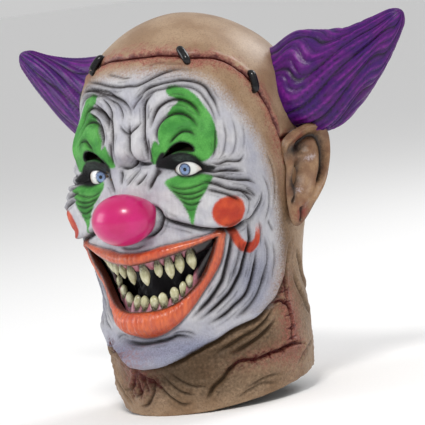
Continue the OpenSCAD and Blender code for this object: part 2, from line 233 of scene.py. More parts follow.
feed(paint_group, made.inputs["Color"], tint(
    paint_group, broken, given.outputs["Under"], given.outputs["Paint"]))
feed(paint_group, made.inputs["Share"], broken)

# Pores and fine creases of cast latex, as a height for a bump
pore_group, given, made = new_group(
    "latex_pores",
    [("Pore Scale", "NodeSocketFloat", 900.0), ("Crease Scale", "NodeSocketFloat", 260.0)],
    [("Height", "NodeSocketFloat")],
)
where = put(pore_group, "ShaderNodeTexCoord").outputs["Object"]
pores = put(pore_group, "ShaderNodeTexVoronoi")
feed(pore_group, pores.inputs["Vector"], where)
feed(pore_group, pores.inputs["Scale"], given.outputs["Pore Scale"])
creases = noise(pore_group, where, given.outputs["Crease Scale"], 5.0, 1.2)
pits = between(pore_group, pores.outputs[0], 0.0, 0.5)
feed(pore_group, made.inputs["Height"], reckon(pore_group, "MULTIPLY_ADD", pits, 0.3, creases))


def mottled(tree, patch_scale, speckle_scale):
    """Uneven tone of these two sizes; returns its patches, its speckle and its streaks."""
    tone = place_group(tree, mottle_group, Patch_Scale=patch_scale, Speckle_Scale=speckle_scale)
    return tone.outputs["Patches"], tone.outputs["Speckle"], tone.outputs["Streaks"]


def thin_tint(tree, share, amount, under, over):
    """Lays a colour over another by some of a share."""
    return tint(tree, reckon(tree, "MULTIPLY", share, amount), under, over)


def add_relief(tree, shader, strength, distance, pore_scale=900.0, crease_scale=260.0):
    """Gives a shader the pores of cast latex."""
    bump = put(tree, "ShaderNodeBump")
    feed(tree, bump.inputs["Strength"], strength)
    feed(tree, bump.inputs["Distance"], distance)
    pores = place_group(tree, pore_group, Pore_Scale=pore_scale, Crease_Scale=crease_scale)
    feed(tree, bump.inputs["Height"], pores.outputs["Height"])
    feed(tree, shader.inputs["Normal"], bump.outputs[0])


def make_mesh(name, points, faces, finishes, layers=None, finish_of=None):
    """Makes an object from points in millimetres, with its paint layers and each face's finish."""
    mesh = bpy.data.meshes.new(name)
    mesh.from_pydata((np.asarray(points) * MM).tolist(), [], faces)
    mesh.polygons.foreach_set("use_smooth", [True] * len(mesh.polygons))
    for finish in finishes:
        mesh.materials.append(finish)
    if finish_of is not None:
        mesh.polygons.foreach_set("material_index", np.asarray(finish_of, np.int32))
    for layer, values in (layers or {}).items():
        attribute = mesh.attributes.new(layer, "FLOAT", "POINT")
        attribute.data.foreach_set("value", np.asarray(values, np.float32))
    mesh.update()
    thing = bpy.data.objects.new(name, mesh)
    bpy.context.scene.collection.objects.link(thing)
    return thing


def fit_piece(thing, slot, *nodes):
    """Fixes a finished piece to the mask in place of its plain solids."""
    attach(thing, "root")
    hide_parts(*nodes)


paper, tree, shader = new_finish("pale_paper", roughness=0.9, specular=0.1)
_, speckle, _ = mottled(tree, 2.0, 300.0)
feed(tree, shader.inputs["Base Color"], tint(tree, speckle, (0.94, 0.94, 0.94), (0.96, 0.96, 0.96)))
FLOOR_HALF = 30000.0
floor_z = cad_box[0][2] / MM - 0.1
corners = [(x * FLOOR_HALF, y * FLOOR_HALF, floor_z) for x, y in ((-1, -1), (1, -1), (1, 1), (-1, 1))]
floor = make_mesh("floor", corners, [(0, 1, 2, 3)], [paper])

# ---- Face skin ------------------------------------------------------------------------------
# The face, neck and back of the head are one hollow skin of cast latex about 3 mm thick. Deep
# folds are cast in, then it is sponged white, brushed with colour and washed with brown.

# Level sections of the head: height, half width, front, back, middle, squareness
HEAD_SECTIONS = np.array([
    [-15, 82, 86, 80, 0, 2.0],
    [10, 87, 91, 84, 0, 2.0],
    [45, 89, 92, 85, 0, 2.0],
    [90, 88, 94, 80, 0, 2.1],
    [130, 93, 94, 84, 2, 2.2],
    [165, 96, 93, 94, 4, 2.3],
    [200, 97, 93, 101, 6, 2.3],
    [230, 95, 91, 102, 8, 2.2],
    [250, 92, 89, 99, 10, 2.1],
])
CROWN_Z = 325.0
DOME_Z = 250.0
DOME_POWER = 1.8
# Swellings: angle from the front, height, half spread in degrees and in height, rise
SWELLINGS = [
    (0, 176, 8, 22, 10), (0, 203, 11, 8, -13), (0, 245, 26, 36, -3), (0, 126, 26, 16, 11),
    (0, 70, 24, 10, 8), (0, 37, 20, 12, 11), (48, 168, 20, 24, 12), (-48, 168, 20, 24, 12),
    (34, 222, 18, 12, 5), (-34, 222, 18, 12, 5), (30, 196, 12, 11, -3), (-30, 196, 12, 11, -3),
    (40, 96, 16, 26, -6), (-40, 96, 16, 26, -6),
]
DEGREE = 1.62  # millimetres of skin in a degree, about


def section_at(z, column):
    """A section value at a height, on a smooth curve through the sections."""
    heights = HEAD_SECTIONS[:, 0]
    values = HEAD_SECTIONS[:, column]
    slopes = np.zeros(len(heights))
    slopes[1:-1] = (values[2:] - values[:-2]) / (heights[2:] - heights[:-2])
    row = np.clip(np.searchsorted(heights, z, side="right") - 1, 0, len(heights) - 2)
    step = heights[row + 1] - heights[row]
    t = np.clip((z - heights[row]) / step, 0, 1)
    rising = values[row] * (1 + 2 * t) * (1 - t) ** 2 + slopes[row] * step * t * (1 - t) ** 2
    return rising + values[row + 1] * t * t * (3 - 2 * t) + slopes[row + 1] * step * t * t * (t - 1)


def angle_gap(a, b):
    return np.abs((a - b + 540) % 360 - 180)


def reach(a, z):
    """Distance from a section's middle to the skin."""
    side = np.abs(np.sin(np.radians(a)))
    ahead = np.cos(np.radians(a))
    wide = section_at(z, 1)
    deep = np.where(ahead > 0, section_at(z, 2), section_at(z, 3))
    power = section_at(z, 5)
    t = np.clip((z - DOME_Z) / (CROWN_Z - DOME_Z), 0, 1)
    dome = np.maximum(0, 1 - t ** DOME_POWER) ** (1 / DOME_POWER)
    out = dome * ((side / wide) ** power + (np.abs(ahead) / deep) ** power) ** (-1 / power)
    for mid_a, mid_z, spread_a, spread_z, rise in SWELLINGS:
        out = out + rise * np.exp(-(angle_gap(a, mid_a) / spread_a) ** 2 - ((z - mid_z) / spread_z) ** 2)
    return out


def on_head(a, z):
    """Points on the plain head at angles from the face's midline and heights."""
    a, z = np.broadcast_arrays(np.asarray(a, float), np.asarray(z, float))
    r = reach(a, z)
    return np.stack([r * np.sin(np.radians(a)), section_at(z, 4) - r * np.cos(np.radians(a)), z], -1)


def unit(vectors):
    return vectors / np.maximum(np.linalg.norm(vectors, axis=-1, keepdims=True), 1e-9)


def directions(a, z):
    """Unit vectors along the skin to the wearer's left, up it, and out of it."""
    along = unit(on_head(a + 0.4, z) - on_head(a - 0.4, z))
    up = unit(on_head(a, np.minimum(z + 0.4, CROWN_Z)) - on_head(a, z - 0.4))
    out = unit(np.cross(along, up))
    return along, np.cross(out, along), out


def smooth_step(value, low, high):
    t = np.clip((value - low) / (high - low), 0, 1)
    return t * t * (3 - 2 * t)


def curve_piece(p, k, t):
    """The smooth curve from point k to the next one, at shares t of the way."""
    bend = (2 * p[k - 1] - 5 * p[k] + 4 * p[k + 1] - p[k + 2]) * t ** 2
    twist = (3 * p[k] - p[k - 1] - 3 * p[k + 1] + p[k + 2]) * t ** 3
    return 0.5 * (2 * p[k] + (p[k + 1] - p[k - 1]) * t + bend + twist)


def smooth_line(points, closed=False, gap=1.2):
    """Points along a smooth curve through (angle, height) pairs."""
    p = np.array(points, float)
    if closed:
        p = np.vstack([p[-1], p, p[0], p[1]])
    else:
        p = np.vstack([2 * p[0] - p[1], p, 2 * p[-1] - p[-2]])
    line = []
    for k in range(1, len(p) - 2):
        length = math.hypot((p[k + 1, 0] - p[k, 0]) * DEGREE, p[k + 1, 1] - p[k, 1])
        line.append(curve_piece(p, k, np.linspace(0, 1, max(2, int(length / gap)), endpoint=False)[:, None]))
    if not closed:
        line.append(p[-2:-1])
    return np.vstack(line)


WAVES = 14
WAVES_SUM = 4.5  # about the most that the waves add up to


def ripple(spots, size, seed):
    """A smooth random unevenness between about -1 and 1, with lumps of this size."""
    draw = np.random.default_rng(seed)
    total = np.zeros(len(spots))
    for _ in range(WAVES):
        way = draw.normal(size=3)
        way /= np.linalg.norm(way) * size / draw.uniform(0.7, 1.4)
        total += np.sin(spots @ way * 2 * math.pi / 1.6 + draw.uniform(0, 6.28))
    return total / WAVES_SUM


def grid_faces(index):
    """Quads of a grid of point numbers that closes on itself sideways."""
    right = np.roll(index, -1, axis=1)
    return np.stack([index[:-1], right[:-1], right[1:], index[1:]], -1).reshape(-1, 4)


class Skin:
    """A sheet of points on the head, with what is sculpted and painted at each of them."""

    def __init__(self, angle, height):
        self.angle = angle.ravel()
        self.height = height.ravel()
        self.spot = on_head(self.angle, self.height)
        self.along, self.up, self.out = directions(self.angle, self.height)
        self.rise = np.zeros(len(self.angle))
        self.paint = {}

    def layer(self, name):
        return self.paint.setdefault(name, np.zeros(len(self.angle)))

    def near(self, line, margin):
        """Numbers of the points within about a margin of a line."""
        low = line.min(0) - (margin / DEGREE, margin)
        high = line.max(0) + (margin / DEGREE, margin)
        inside = (self.angle > low[0]) & (self.angle < high[0])
        return np.nonzero(inside & (self.height > low[1]) & (self.height < high[1]))[0]

    def measure(self, line, picked):
        """Distance to a line, share of the way along it, and which side of it."""
        corners = on_head(line[:, 0], line[:, 1])
        spots = self.spot[picked]
        best = np.full(len(picked), 1e9)
        share = np.zeros(len(picked))
        side = np.ones(len(picked))
        for k in range(len(corners) - 1):
            step = corners[k + 1] - corners[k]
            t = np.clip((spots - corners[k]) @ step / max(step @ step, 1e-9), 0, 1)
            gap = np.linalg.norm(spots - corners[k] - t[:, None] * step, axis=1)
            closer = gap < best
            best = np.where(closer, gap, best)
            share = np.where(closer, (k + t) / (len(corners) - 1), share)
            flat = line[k + 1] - line[k]
            turn = flat[0] * (self.height[picked] - line[k, 1]) - flat[1] * (self.angle[picked] - line[k, 0])
            side = np.where(closer, np.sign(turn), side)
        return best, share, side

    def carve(self, points, wide=1.5, deep=1.4, wash=0.8, fold=0.0, swell=0.4, mirror=False, ends=0.15,
              colour="wash"):
        """Presses a crease along a line, with rolled edges, and runs dark paint into it."""
        for way in (1, -1) if mirror else (1,):
            line = smooth_line([(way * a, z) for a, z in points])
            picked = self.near(line, 10 + 6 * wide)
            if not len(picked):
                continue
            gap, share, side = self.measure(line, picked)
            side = side * way
            taper = np.minimum(smooth_step(share, -0.05, 0.22), smooth_step(1 - share, -0.05, 0.22))
            strength = ends + (1 - ends) * taper
            # The groove and its rolled edges
            self.rise[picked] -= 1.3 * deep * strength * np.exp(-(gap / (0.85 * wide)) ** 2)
            self.rise[picked] += swell * deep * strength * np.exp(-((gap - 2.2 * wide) / (1.3 * wide)) ** 2)
            # The skin on the line's left hangs over the skin on its right
            if fold:
                over = np.where(side > 0, np.exp(-(gap / 9) ** 2), -0.25 * np.exp(-(gap / 6) ** 2))
                self.rise[picked] += fold * strength * over * smooth_step(gap, 0, 1.4)
            # Dark paint in the groove and in a broken hairline beside it
            if wash:
                dark = self.layer(colour)
                beside = np.exp(-((gap - 2.6 * wide) / (0.45 * wide)) ** 2)
                beside = beside * smooth_step(ripple(self.spot[picked], 15, len(line)), 0.05, 0.5)
                self.rise[picked] -= 0.28 * deep * strength * beside
                mark = 1.1 * np.exp(-(gap / (0.66 * wide)) ** 2) + 0.4 * beside
                mark = mark + 0.24 * np.exp(-(gap / (2.3 * wide)) ** 2)
                mark = np.minimum(1, 1.2 * wash * strength * mark)
                dark[picked] = 1 - (1 - dark[picked]) * (1 - mark)

    def raise_ridge(self, points, wide, high, mirror=False):
        """Builds a roll of flesh along a line."""
        for way in (1, -1) if mirror else (1,):
            line = smooth_line([(way * a, z) for a, z in points])
            picked = self.near(line, 3 * wide)
            gap, share, _ = self.measure(line, picked)
            taper = np.minimum(smooth_step(share, -0.05, 0.3), smooth_step(1 - share, -0.05, 0.3))
            self.rise[picked] += high * taper * np.exp(-(gap / wide) ** 2)

    def mound(self, a, z, spread_a, spread_z, rise, mirror=False):
        """Raises or sinks a soft oval."""
        for way in (1, -1) if mirror else (1,):
            off = (angle_gap(self.angle, way * a) / spread_a) ** 2 + ((self.height - z) / spread_z) ** 2
            self.rise += rise * np.exp(-off)

    def depth_in(self, outline, margin):
        """How far each point lies inside a closed outline, negative outside, cut off at a margin."""
        depth = np.full(len(self.angle), -float(margin))
        picked = self.near(outline, margin)
        ring = np.vstack([outline, outline[:1]])
        gap, _, _ = self.measure(ring, picked)
        inside = is_inside(self.angle[picked], self.height[picked], outline)
        depth[picked] = np.clip(np.where(inside, gap, -gap), -margin, None)
        return depth

    def cover(self, name, points, soft, amount=1.0, mirror=False):
        """Paints inside a closed outline, with a soft edge."""
        for way in (1, -1) if mirror else (1,):
            outline = smooth_line([(way * a, z) for a, z in points], closed=True)
            depth = self.depth_in(outline, 4 * soft + 4)
            patch = amount * smooth_step(depth, -soft, soft)
            self.paint[name] = np.maximum(self.layer(name), patch)

    def shade(self, name, a, z, spread_a, spread_z, amount):
        """Airbrushes a soft oval."""
        off = (angle_gap(self.angle, a) / spread_a) ** 2 + ((self.height - z) / spread_z) ** 2
        self.paint[name] = 1 - (1 - self.layer(name)) * (1 - amount * np.exp(-off))

    def shape(self, sink=0.0):
        return self.spot + self.out * (self.rise - sink)[:, None]


def is_inside(a, z, outline):
    """Whether points lie inside a closed outline."""
    inside = np.zeros(np.shape(a), bool)
    ends = np.roll(outline, -1, axis=0)
    for (a0, z0), (a1, z1) in zip(outline, ends):
        if z0 != z1:
            crossing = (z0 > z) != (z1 > z)
            inside ^= crossing & (a < (a1 - a0) * (z - z0) / (z1 - z0) + a0)
    return inside


def both_halves(edge):
    """A closed outline from its left half, which starts and ends on the midline."""
    return smooth_line(edge + [(-a, z) for a, z in edge[-2:0:-1]], closed=True)


def left_handed(outline):
    """The outline, turned so that its inside is on the left of its direction."""
    a, z = outline[:, 0], outline[:, 1]
    area = np.sum(a * np.roll(z, -1) - np.roll(a, -1) * z)
    return outline if area > 0 else outline[::-1]


# Neck rim and scalp seam
RIM_DROP = 13.0
SEAM_FRONT_Z = 293.0
SEAM_BACK_Z = 207.0
SEAM_TURN = 88.0
SEAM_CURVE = 5.4
TEMPLE_DIP = 4.0
TEMPLE_ANGLE = 43.0
TEMPLE_SPREAD = 13.0
WALL = 3.0


def rim_height(a):
    return -RIM_DROP * np.cos(np.radians(a))


def seam_height(a):
    fall = np.minimum(1, angle_gap(a, 0) / SEAM_TURN) ** SEAM_CURVE
    temple_dip = TEMPLE_DIP * np.exp(-((angle_gap(a, 0) - TEMPLE_ANGLE) / TEMPLE_SPREAD) ** 2)
    return SEAM_FRONT_Z - (SEAM_FRONT_Z - SEAM_BACK_Z) * fall - temple_dip


def seam_profile(away, ragged):
    """How the skin dips into the cut and swells beside it."""
    swell = 0.9 * np.exp(-((away - 4) / 2.2) ** 2) * (1 + 0.5 * ragged)
    return swell - 2.0 * np.exp(-(away / 1.6) ** 2)


def seam_ragged(spots):
    """Unevenness of the cut, the same on both sides of it."""
    return 0.8 * ripple(spots, 9, 3) + 0.5 * ripple(spots, 4, 4)


# Openings: the grinning mouth, the eyes between their lids, and the slots to see through
MOUTH_HALF = 67.0
MOUTH_CORNER_Z = 136.0
UPPER_EDGE = (121.0, 1.6)  # height at the midline, and how late the curve rises
LOWER_EDGE = (78.0, 2.8)


def mouth_edge(x, middle_z, power):
    """Height of an edge of the mouth this far aside."""
    return middle_z + (MOUTH_CORNER_Z - middle_z) * np.abs(x / MOUTH_HALF) ** power


mouth_x = np.linspace(-MOUTH_HALF, MOUTH_HALF, 121)
lower_edge = mouth_edge(mouth_x, *LOWER_EDGE)
upper_edge = mouth_edge(mouth_x, *UPPER_EDGE)


def angle_at(x, z):
    """The angle at which the skin is this far aside."""
    a = np.zeros(len(x))
    for _ in range(30):
        a = np.degrees(np.arcsin(np.clip(x / reach(a, z), -1, 1)))
    return a


mouth_outline = left_handed(np.vstack([
    np.stack([angle_at(mouth_x, lower_edge), lower_edge], 1),
    np.stack([angle_at(mouth_x, upper_edge), upper_edge], 1)[-2:0:-1],
]))
EYE_LIDS = [
    (18.8, 195.2), (22, 199.4), (27, 202.2), (32, 202.6), (36.6, 200.2), (41.4, 193.8), (37.6, 189.8),
    (33, 187.4), (29, 187.0), (24.6, 188.8), (21, 192.2),
]
SLOT_EDGE = [
    (19.5, 206.5), (22, 211.5), (25, 215.8), (29, 218.6), (33, 217.4), (35.6, 213.2), (35.2, 209.6),
    (31.5, 210), (27.5, 210.4), (23.5, 208.6),
]
RIGHT_EYE_SHIFT = 2.0  # degrees nearer the nose than the left eye
outlines = {"mouth": mouth_outline}
for side_name, way in (("left", 1), ("right", -1)):
    for opening, edge_points in (("eye", EYE_LIDS), ("slot", SLOT_EDGE)):
        mirrored = [(way * a + (RIGHT_EYE_SHIFT if way < 0 else 0), z) for a, z in edge_points]
        outlines[opening + "_" + side_name] = left_handed(smooth_line(mirrored, closed=True, gap=0.5))

# Columns lie closer together over the painted side of the face
COLUMN_PLAN = ((-76.0, 104.0, 0.56), (104.0, 284.0, 1.5))
columns = np.concatenate([np.arange(start, stop - 0.01, step) for start, stop, step in COLUMN_PLAN])
columns = (columns + 180) % 360 - 180
ROWS = 290
share_up = np.linspace(0, 1, ROWS)
grid_angle = np.tile(columns, (ROWS, 1))
rim_row = rim_height(columns)
grid_height = rim_row + share_up[:, None] * (seam_height(columns) - 0.3 - rim_row)
count = len(columns)
index = np.arange(ROWS * count).reshape(ROWS, count)
quads = grid_faces(index)
HALF_COLUMN = 0.33
centre_angle = grid_angle.ravel()[quads[:, 0]] + HALF_COLUMN
centre_height = grid_height.ravel()[quads].mean(1)
opened_by = np.full(len(quads), "", dtype="<U12")
for opening, outline in outlines.items():
    opened_by[is_inside(centre_angle, centre_height, outline)] = opening
kept = quads[opened_by == ""]
flat_angle = grid_angle.ravel().copy()
flat_height = grid_height.ravel().copy()
edge_points_of = {}
toward_angle = np.zeros(len(flat_angle))
toward_height = np.zeros(len(flat_angle))
for opening, outline in outlines.items():
    on_edge = np.intersect1d(np.unique(quads[opened_by == opening]), np.unique(kept))
    dense = smooth_line(outline, closed=True, gap=0.3) if opening != "mouth" else outline
    away = ((flat_angle[on_edge, None] - dense[:, 0]) * DEGREE) ** 2
    away += (flat_height[on_edge, None] - dense[:, 1]) ** 2
    nearest = away.argmin(1)
    flat_angle[on_edge] = dense[nearest, 0]
    flat_height[on_edge] = dense[nearest, 1]
    run = np.roll(dense, -2, axis=0) - np.roll(dense, 2, axis=0)
    inward = unit(np.stack([-run[:, 1], run[:, 0] * DEGREE], 1))
    toward_angle[on_edge] = inward[nearest, 0]
    toward_height[on_edge] = inward[nearest, 1]
    edge_points_of[opening] = on_edge
face = Skin(flat_angle, flat_height)

# Brow: two long wrinkles under the seam, and arches of flesh over each eye
for line, wide, deep, wash in (
    ([(-20, 282), (-10, 279), (-4, 277), (2, 277)], 1.1, 0.9, 0.5),
    ([(-44, 277), (-27, 275), (-16, 272), (-7, 270), (0, 270), (5, 269.5), (10, 271), (18, 275), (25, 278),
      (32, 279), (40, 277)], 1.5, 1.6, 0.75),
    ([(12, 284), (20, 286), (30, 284), (38, 282)], 1.1, 0.7, 0.3),
    ([(-48, 268), (-38, 269), (-30, 269), (-20, 266), (-11, 263), (-4, 258), (0, 252), (1, 246)],
     1.6, 2.0, 0.85),
    ([(-19, 262), (-15, 256), (-13, 250), (-12, 240)], 1.3, 1.5, 0.7),
    ([(-14, 261), (-7, 255), (-5, 247), (-5, 242)], 1.2, 1.3, 0.6),
    ([(-28, 259), (-20, 252), (-14, 243), (-12, 236), (-11, 226), (-11, 213)], 1.6, 2.0, 0.9),
    ([(-31, 251), (-23, 244), (-19, 236), (-17, 229)], 1.4, 1.6, 0.85),
    ([(17, 262), (12, 256), (10, 248), (10, 238), (10, 227), (11, 217), (11, 207)], 1.6, 2.0, 0.9),
    ([(11, 262), (6, 256), (2, 249)], 1.2, 1.1, 0.5),
    ([(17, 268), (10, 264), (5, 258)], 1.2, 1.0, 0.4),
    ([(0, 238), (0, 230), (0, 218), (1, 209)], 1.5, 2.0, 0.8),
    ([(-7, 238), (-4, 233), (0, 230), (4, 234), (8, 238)], 1.3, 1.5, 0.7),
):
    face.carve(line, wide, deep, wash)
for line, wide, deep, wash in (
    ([(7, 258), (13, 266), (21, 268.5), (28, 269.5), (34, 269.5), (42, 266), (46, 261), (48, 254), (50, 246),
      (51, 236)], 1.6, 1.9, 0.8),
    ([(9, 252), (11, 258), (17, 263), (25, 264.5), (30, 265), (37, 263), (42, 258), (45, 250), (47.5, 240),
      (48.5, 228)], 1.3, 1.5, 0.55),
    ([(14, 234), (15, 240), (17, 246), (20, 250), (25, 253.5), (30, 254), (35, 251), (39, 245), (41, 238)],
     1.7, 2.2, 0.9),
    ([(17.5, 219), (17.5, 229), (20, 236.5), (24, 241), (29, 242.5), (33, 241), (37, 236), (39, 230)],
     1.6, 2.0, 0.85),
    ([(24, 218.5), (27.5, 224), (31, 227.5), (34.5, 227), (37.5, 223)], 1.5, 1.8, 0.8),
    ([(12.5, 225), (12.5, 214), (13, 205)], 1.3, 1.4, 0.7),
):
    face.carve(line, wide, deep, wash, mirror=True)
face.raise_ridge([(-6, 229), (-5.5, 216), (-4.6, 206)], 5.0, 4.2)
face.raise_ridge([(6, 229), (5.5, 216), (6, 206)], 5.0, 4.2)
face.raise_ridge([(19, 240), (22, 247.5), (28, 249.5), (33, 247), (37, 240)], 4.0, 1.6, mirror=True)
face.raise_ridge([(20.5, 222), (21, 231), (26, 237), (31, 237), (35, 232)], 4.0, 2.2, mirror=True)
face.raise_ridge([(12, 258), (20, 266), (30, 267), (41, 262), (47, 250)], 2.4, 1.0, mirror=True)
face.raise_ridge([(40, 256), (44, 244), (46, 230), (45, 214), (42, 205)], 5.0, 2.2, mirror=True)

# Nose: wrinkles across its bridge, and the nostril wings behind the ball
for line, wide, deep, wash in (
    ([(-10, 203), (-5, 201), (-1, 203), (1, 206), (4, 203.5), (9, 203), (14, 203.5)], 1.6, 2.4, 0.9),
    ([(-9, 200), (-6, 195), (-4, 189)], 1.3, 1.9, 0.9),
    ([(4, 200), (2, 194), (0, 188)], 1.3, 1.8, 0.8),
    ([(9.5, 196), (7.5, 191), (5, 187)], 1.3, 1.8, 0.85),
):
    face.carve(line, wide, deep, wash)
face.carve([(15.5, 200), (15, 194), (12.5, 187), (11, 182)], 1.8, 2.6, 0.95, mirror=True)
face.mound(12.2, 156, 5.0, 8, 10, mirror=True)
face.carve([(10, 168), (13.5, 166.5), (16.5, 162), (17.3, 156), (15.5, 149), (11.5, 144.5), (7, 143)],
           1.6, 3.0, 0.85, mirror=True)
face.carve([(-7, 137), (-3, 135), (2, 135), (7, 137)], 2.0, 1.5, 0.5)

# Eyes: liner folds, bags below them, and rays at their outer corners
for line, wide, deep, wash in (
    ([(20.5, 185), (25, 181), (30, 179.6), (36, 181), (41, 184)], 1.2, 1.2, 0.55),
    ([(22, 180.5), (26, 176.5), (31, 174.8), (36, 176), (40.5, 179)], 1.2, 1.2, 0.6),
    ([(24.5, 176.5), (28, 172.4), (32, 170.6), (36, 172), (39, 174.6)], 1.2, 1.1, 0.6),
    ([(26.5, 171), (30, 166.8), (33, 165.6), (37, 168)], 1.2, 1.0, 0.55),
    ([(28, 164), (31, 161.4), (34, 162)], 1.0, 0.7, 0.4),
    ([(39, 193), (44, 190.5), (50, 190.3), (58, 187.6)], 1.7, 2.2, 0.95),
    ([(43, 198), (47, 196.4), (51, 197.6), (55, 196.4), (58, 196.4), (60.5, 200)], 1.4, 1.6, 0.75),
    ([(41, 188.5), (48, 184.4), (54, 181.2), (60, 179.2), (64, 175)], 1.5, 1.9, 0.8),
    ([(38.5, 184), (44, 180.4), (49, 175), (54, 172.4), (57.5, 169.6), (62, 165)], 1.7, 2.4, 0.95),
    ([(39, 177.6), (44, 174), (48, 170.6), (51.5, 166.5), (53.5, 163.5)], 1.5, 1.9, 0.75),
    ([(55, 171), (58, 165.5), (60, 161.5)], 1.1, 1.0, 0.7),
    ([(57, 173.6), (61, 168.4), (63.5, 164)], 1.1, 1.0, 0.6),
    ([(56, 170), (58.5, 163), (58.8, 156), (57, 150)], 1.3, 1.0, 0.3),
    ([(68, 166), (66.5, 159), (63.5, 153), (60.5, 148.5), (58.5, 144.5)], 1.6, 2.2, 0.85),
    ([(47.5, 226), (46.6, 216), (46, 207), (44, 201)], 1.3, 1.3, 0.55),
    ([(52.5, 230), (52.5, 217), (50.5, 206), (47, 199)], 1.1, 0.9, 0.4),
    ([(57.5, 232), (58, 217), (56, 206), (52, 200)], 1.1, 0.8, 0.35),
    ([(63, 226), (62.5, 214), (60.5, 204)], 1.1, 0.6, 0.25),
):
    face.carve(line, wide, deep, wash, mirror=True)
face.raise_ridge([(41, 191), (48, 187.2), (56, 184.6), (62, 183)], 2.4, 1.6, mirror=True)
face.raise_ridge([(40, 187), (47, 181.6), (54, 177.6), (60, 174)], 2.4, 1.6, mirror=True)
face.raise_ridge([(41, 180), (46, 176), (51, 171), (55, 167.5)], 2.2, 1.4, mirror=True)
face.raise_ridge([(46, 203), (52, 202.4), (58, 203)], 2.6, 1.4, mirror=True)

# Cheeks: the smile line from the nose, its notch, and folds that hang beside the mouth
face.carve([(16, 161), (20, 155), (25, 151.4), (31, 147.6), (36, 144.6), (42, 142.6), (47, 142), (51, 142.4),
            (55, 145), (59, 146.6)], 2.1, 3.2, 1.0, fold=2.2, mirror=True)
face.carve([(43, 143), (48, 140.6), (53, 142.6), (57, 146)], 2.4, 2.2, 1.0, mirror=True)
for line, wide, deep, wash in (
    ([(48.5, 141), (50, 132), (49, 121), (47.4, 112), (46, 105), (44.4, 98), (41, 91), (36, 83), (31, 77),
      (26, 71)], 1.9, 2.8, 0.95),
    ([(58.5, 145), (60, 134), (60, 127), (58, 120), (56, 110), (54, 101), (48.5, 88), (42, 80), (36, 74),
      (30, 68)], 1.8, 2.8, 0.95),
    ([(64.5, 118), (63, 105), (60, 92), (56, 82), (49, 75), (43, 69), (34, 63)], 1.8, 2.4, 0.8),
    ([(70, 103), (67, 90), (62, 79), (55, 70), (47, 64)], 1.6, 1.5, 0.55),
    ([(54.5, 128), (54, 118), (52, 108), (49, 98)], 1.2, 1.1, 0.45),
    ([(72, 142), (74, 136), (76, 131)], 1.2, 0.9, 0.4),
    ([(66, 143), (67.5, 132), (67, 121)], 1.2, 1.0, 0.35),
    ([(70, 180), (73, 168), (73, 154), (70, 140)], 1.2, 0.9, 0.35),
    ([(75, 200), (78, 184), (78, 166), (76, 150)], 1.2, 0.8, 0.3),
    ([(69, 128), (72, 114), (70, 98), (66, 86)], 1.3, 1.1, 0.4),
    ([(76, 122), (77, 106), (74, 90)], 1.3, 0.9, 0.3),
):
    face.carve(line, wide, deep, wash, fold=0.8, mirror=True)
face.mound(48.5, 157, 9, 13, 3.0, mirror=True)
face.carve([(-18, 54), (-11, 52.6), (-4, 52), (5, 53), (12, 54.4), (17, 56), (24, 53)], 1.8, 2.4, 0.75)
face.carve([(14, 58), (18, 59.5), (23, 58), (26, 55)], 1.2, 1.0, 0.4, mirror=True)

# Jaw: the white face hangs over the tan neck, with painted shade in the fold under it
JAW_LINE = [(0, 31), (6, 31.4), (12, 33.4), (18, 36.6), (22, 40), (27, 43), (31, 45.5), (37, 48.6), (44, 54),
            (51, 57.5), (60, 61), (67, 67.5), (75, 75), (82, 86), (87, 100), (90, 116)]
jaw_whole = [(-a, z) for a, z in JAW_LINE[:0:-1]] + JAW_LINE
face.carve(jaw_whole, 2.6, 3.2, 0.95, fold=5.0, ends=0.1, colour="grime_and_shade")

# Neck: slack folds under the jaw, darkened with grime and painted shade, and a gashed side
for line, wide, deep, wash in (
    ([(43, 34), (51, 39), (59.5, 44.4), (66.5, 50), (73, 56)], 2.2, 2.6, 0.75),
    ([(34, 36), (42, 42), (50, 47), (58, 51), (66, 58), (74, 68)], 2.2, 2.4, 0.7),
    ([(1, 25), (2, 14), (6, 4), (12, -3), (18, -4)], 1.8, 1.6, 0.6),
    ([(5, 26), (8, 16), (13, 8), (20, 4)], 1.6, 1.3, 0.55),
    ([(9, 27), (14, 18), (20, 12), (28, 10)], 1.6, 1.3, 0.5),
    ([(27, -2), (31, 8), (37, 14.6), (41, 21.6), (47, 27.4)], 2.4, 3.2, 0.7),
    ([(50, 4), (57, 8), (64, 10), (72, 9)], 1.4, 1.1, 0.35),
    ([(44, -4), (52, 2), (60, 5), (68, 3)], 1.4, 1.2, 0.35),
    ([(88, 14), (96, 22), (104, 26), (112, 28)], 1.8, 1.4, 0.5),
    ([(95, 90), (100, 74), (108, 58), (118, 48)], 2.4, 2.0, 0.5),
    ([(100, 108), (106, 92), (114, 76), (126, 66)], 2.4, 2.0, 0.5),
):
    face.carve(line, wide, deep, wash, fold=0.8, mirror=True, colour="grime_and_shade")
for z in (44, 62, 82, 104):
    across = [(a, z + 5 * math.sin(math.radians(3 * a))) for a in (130, 145, 160, 175)]
    face.carve(across, 2.6, 1.8, 0.4, mirror=True, colour="grime_and_shade")
face.carve([(41, 21.5), (44, 24.4), (48.5, 27.6), (56, 26.4), (62.5, 27.4), (67, 29), (74, 29.6), (80, 31.4),
            (88, 31.4), (95, 28)], 1.6, 2.6, 1.0, colour="blood", swell=0.7)
face.carve([(86, 96), (84.5, 84), (83, 72), (84, 62), (85, 52), (84, 43), (82.5, 33)], 1.5, 2.6, 1.0,
           colour="blood", swell=0.7)
face.carve([(73, 70), (78, 71), (82, 66), (84, 58)], 1.3, 2.0, 0.9, colour="blood", swell=0.7)
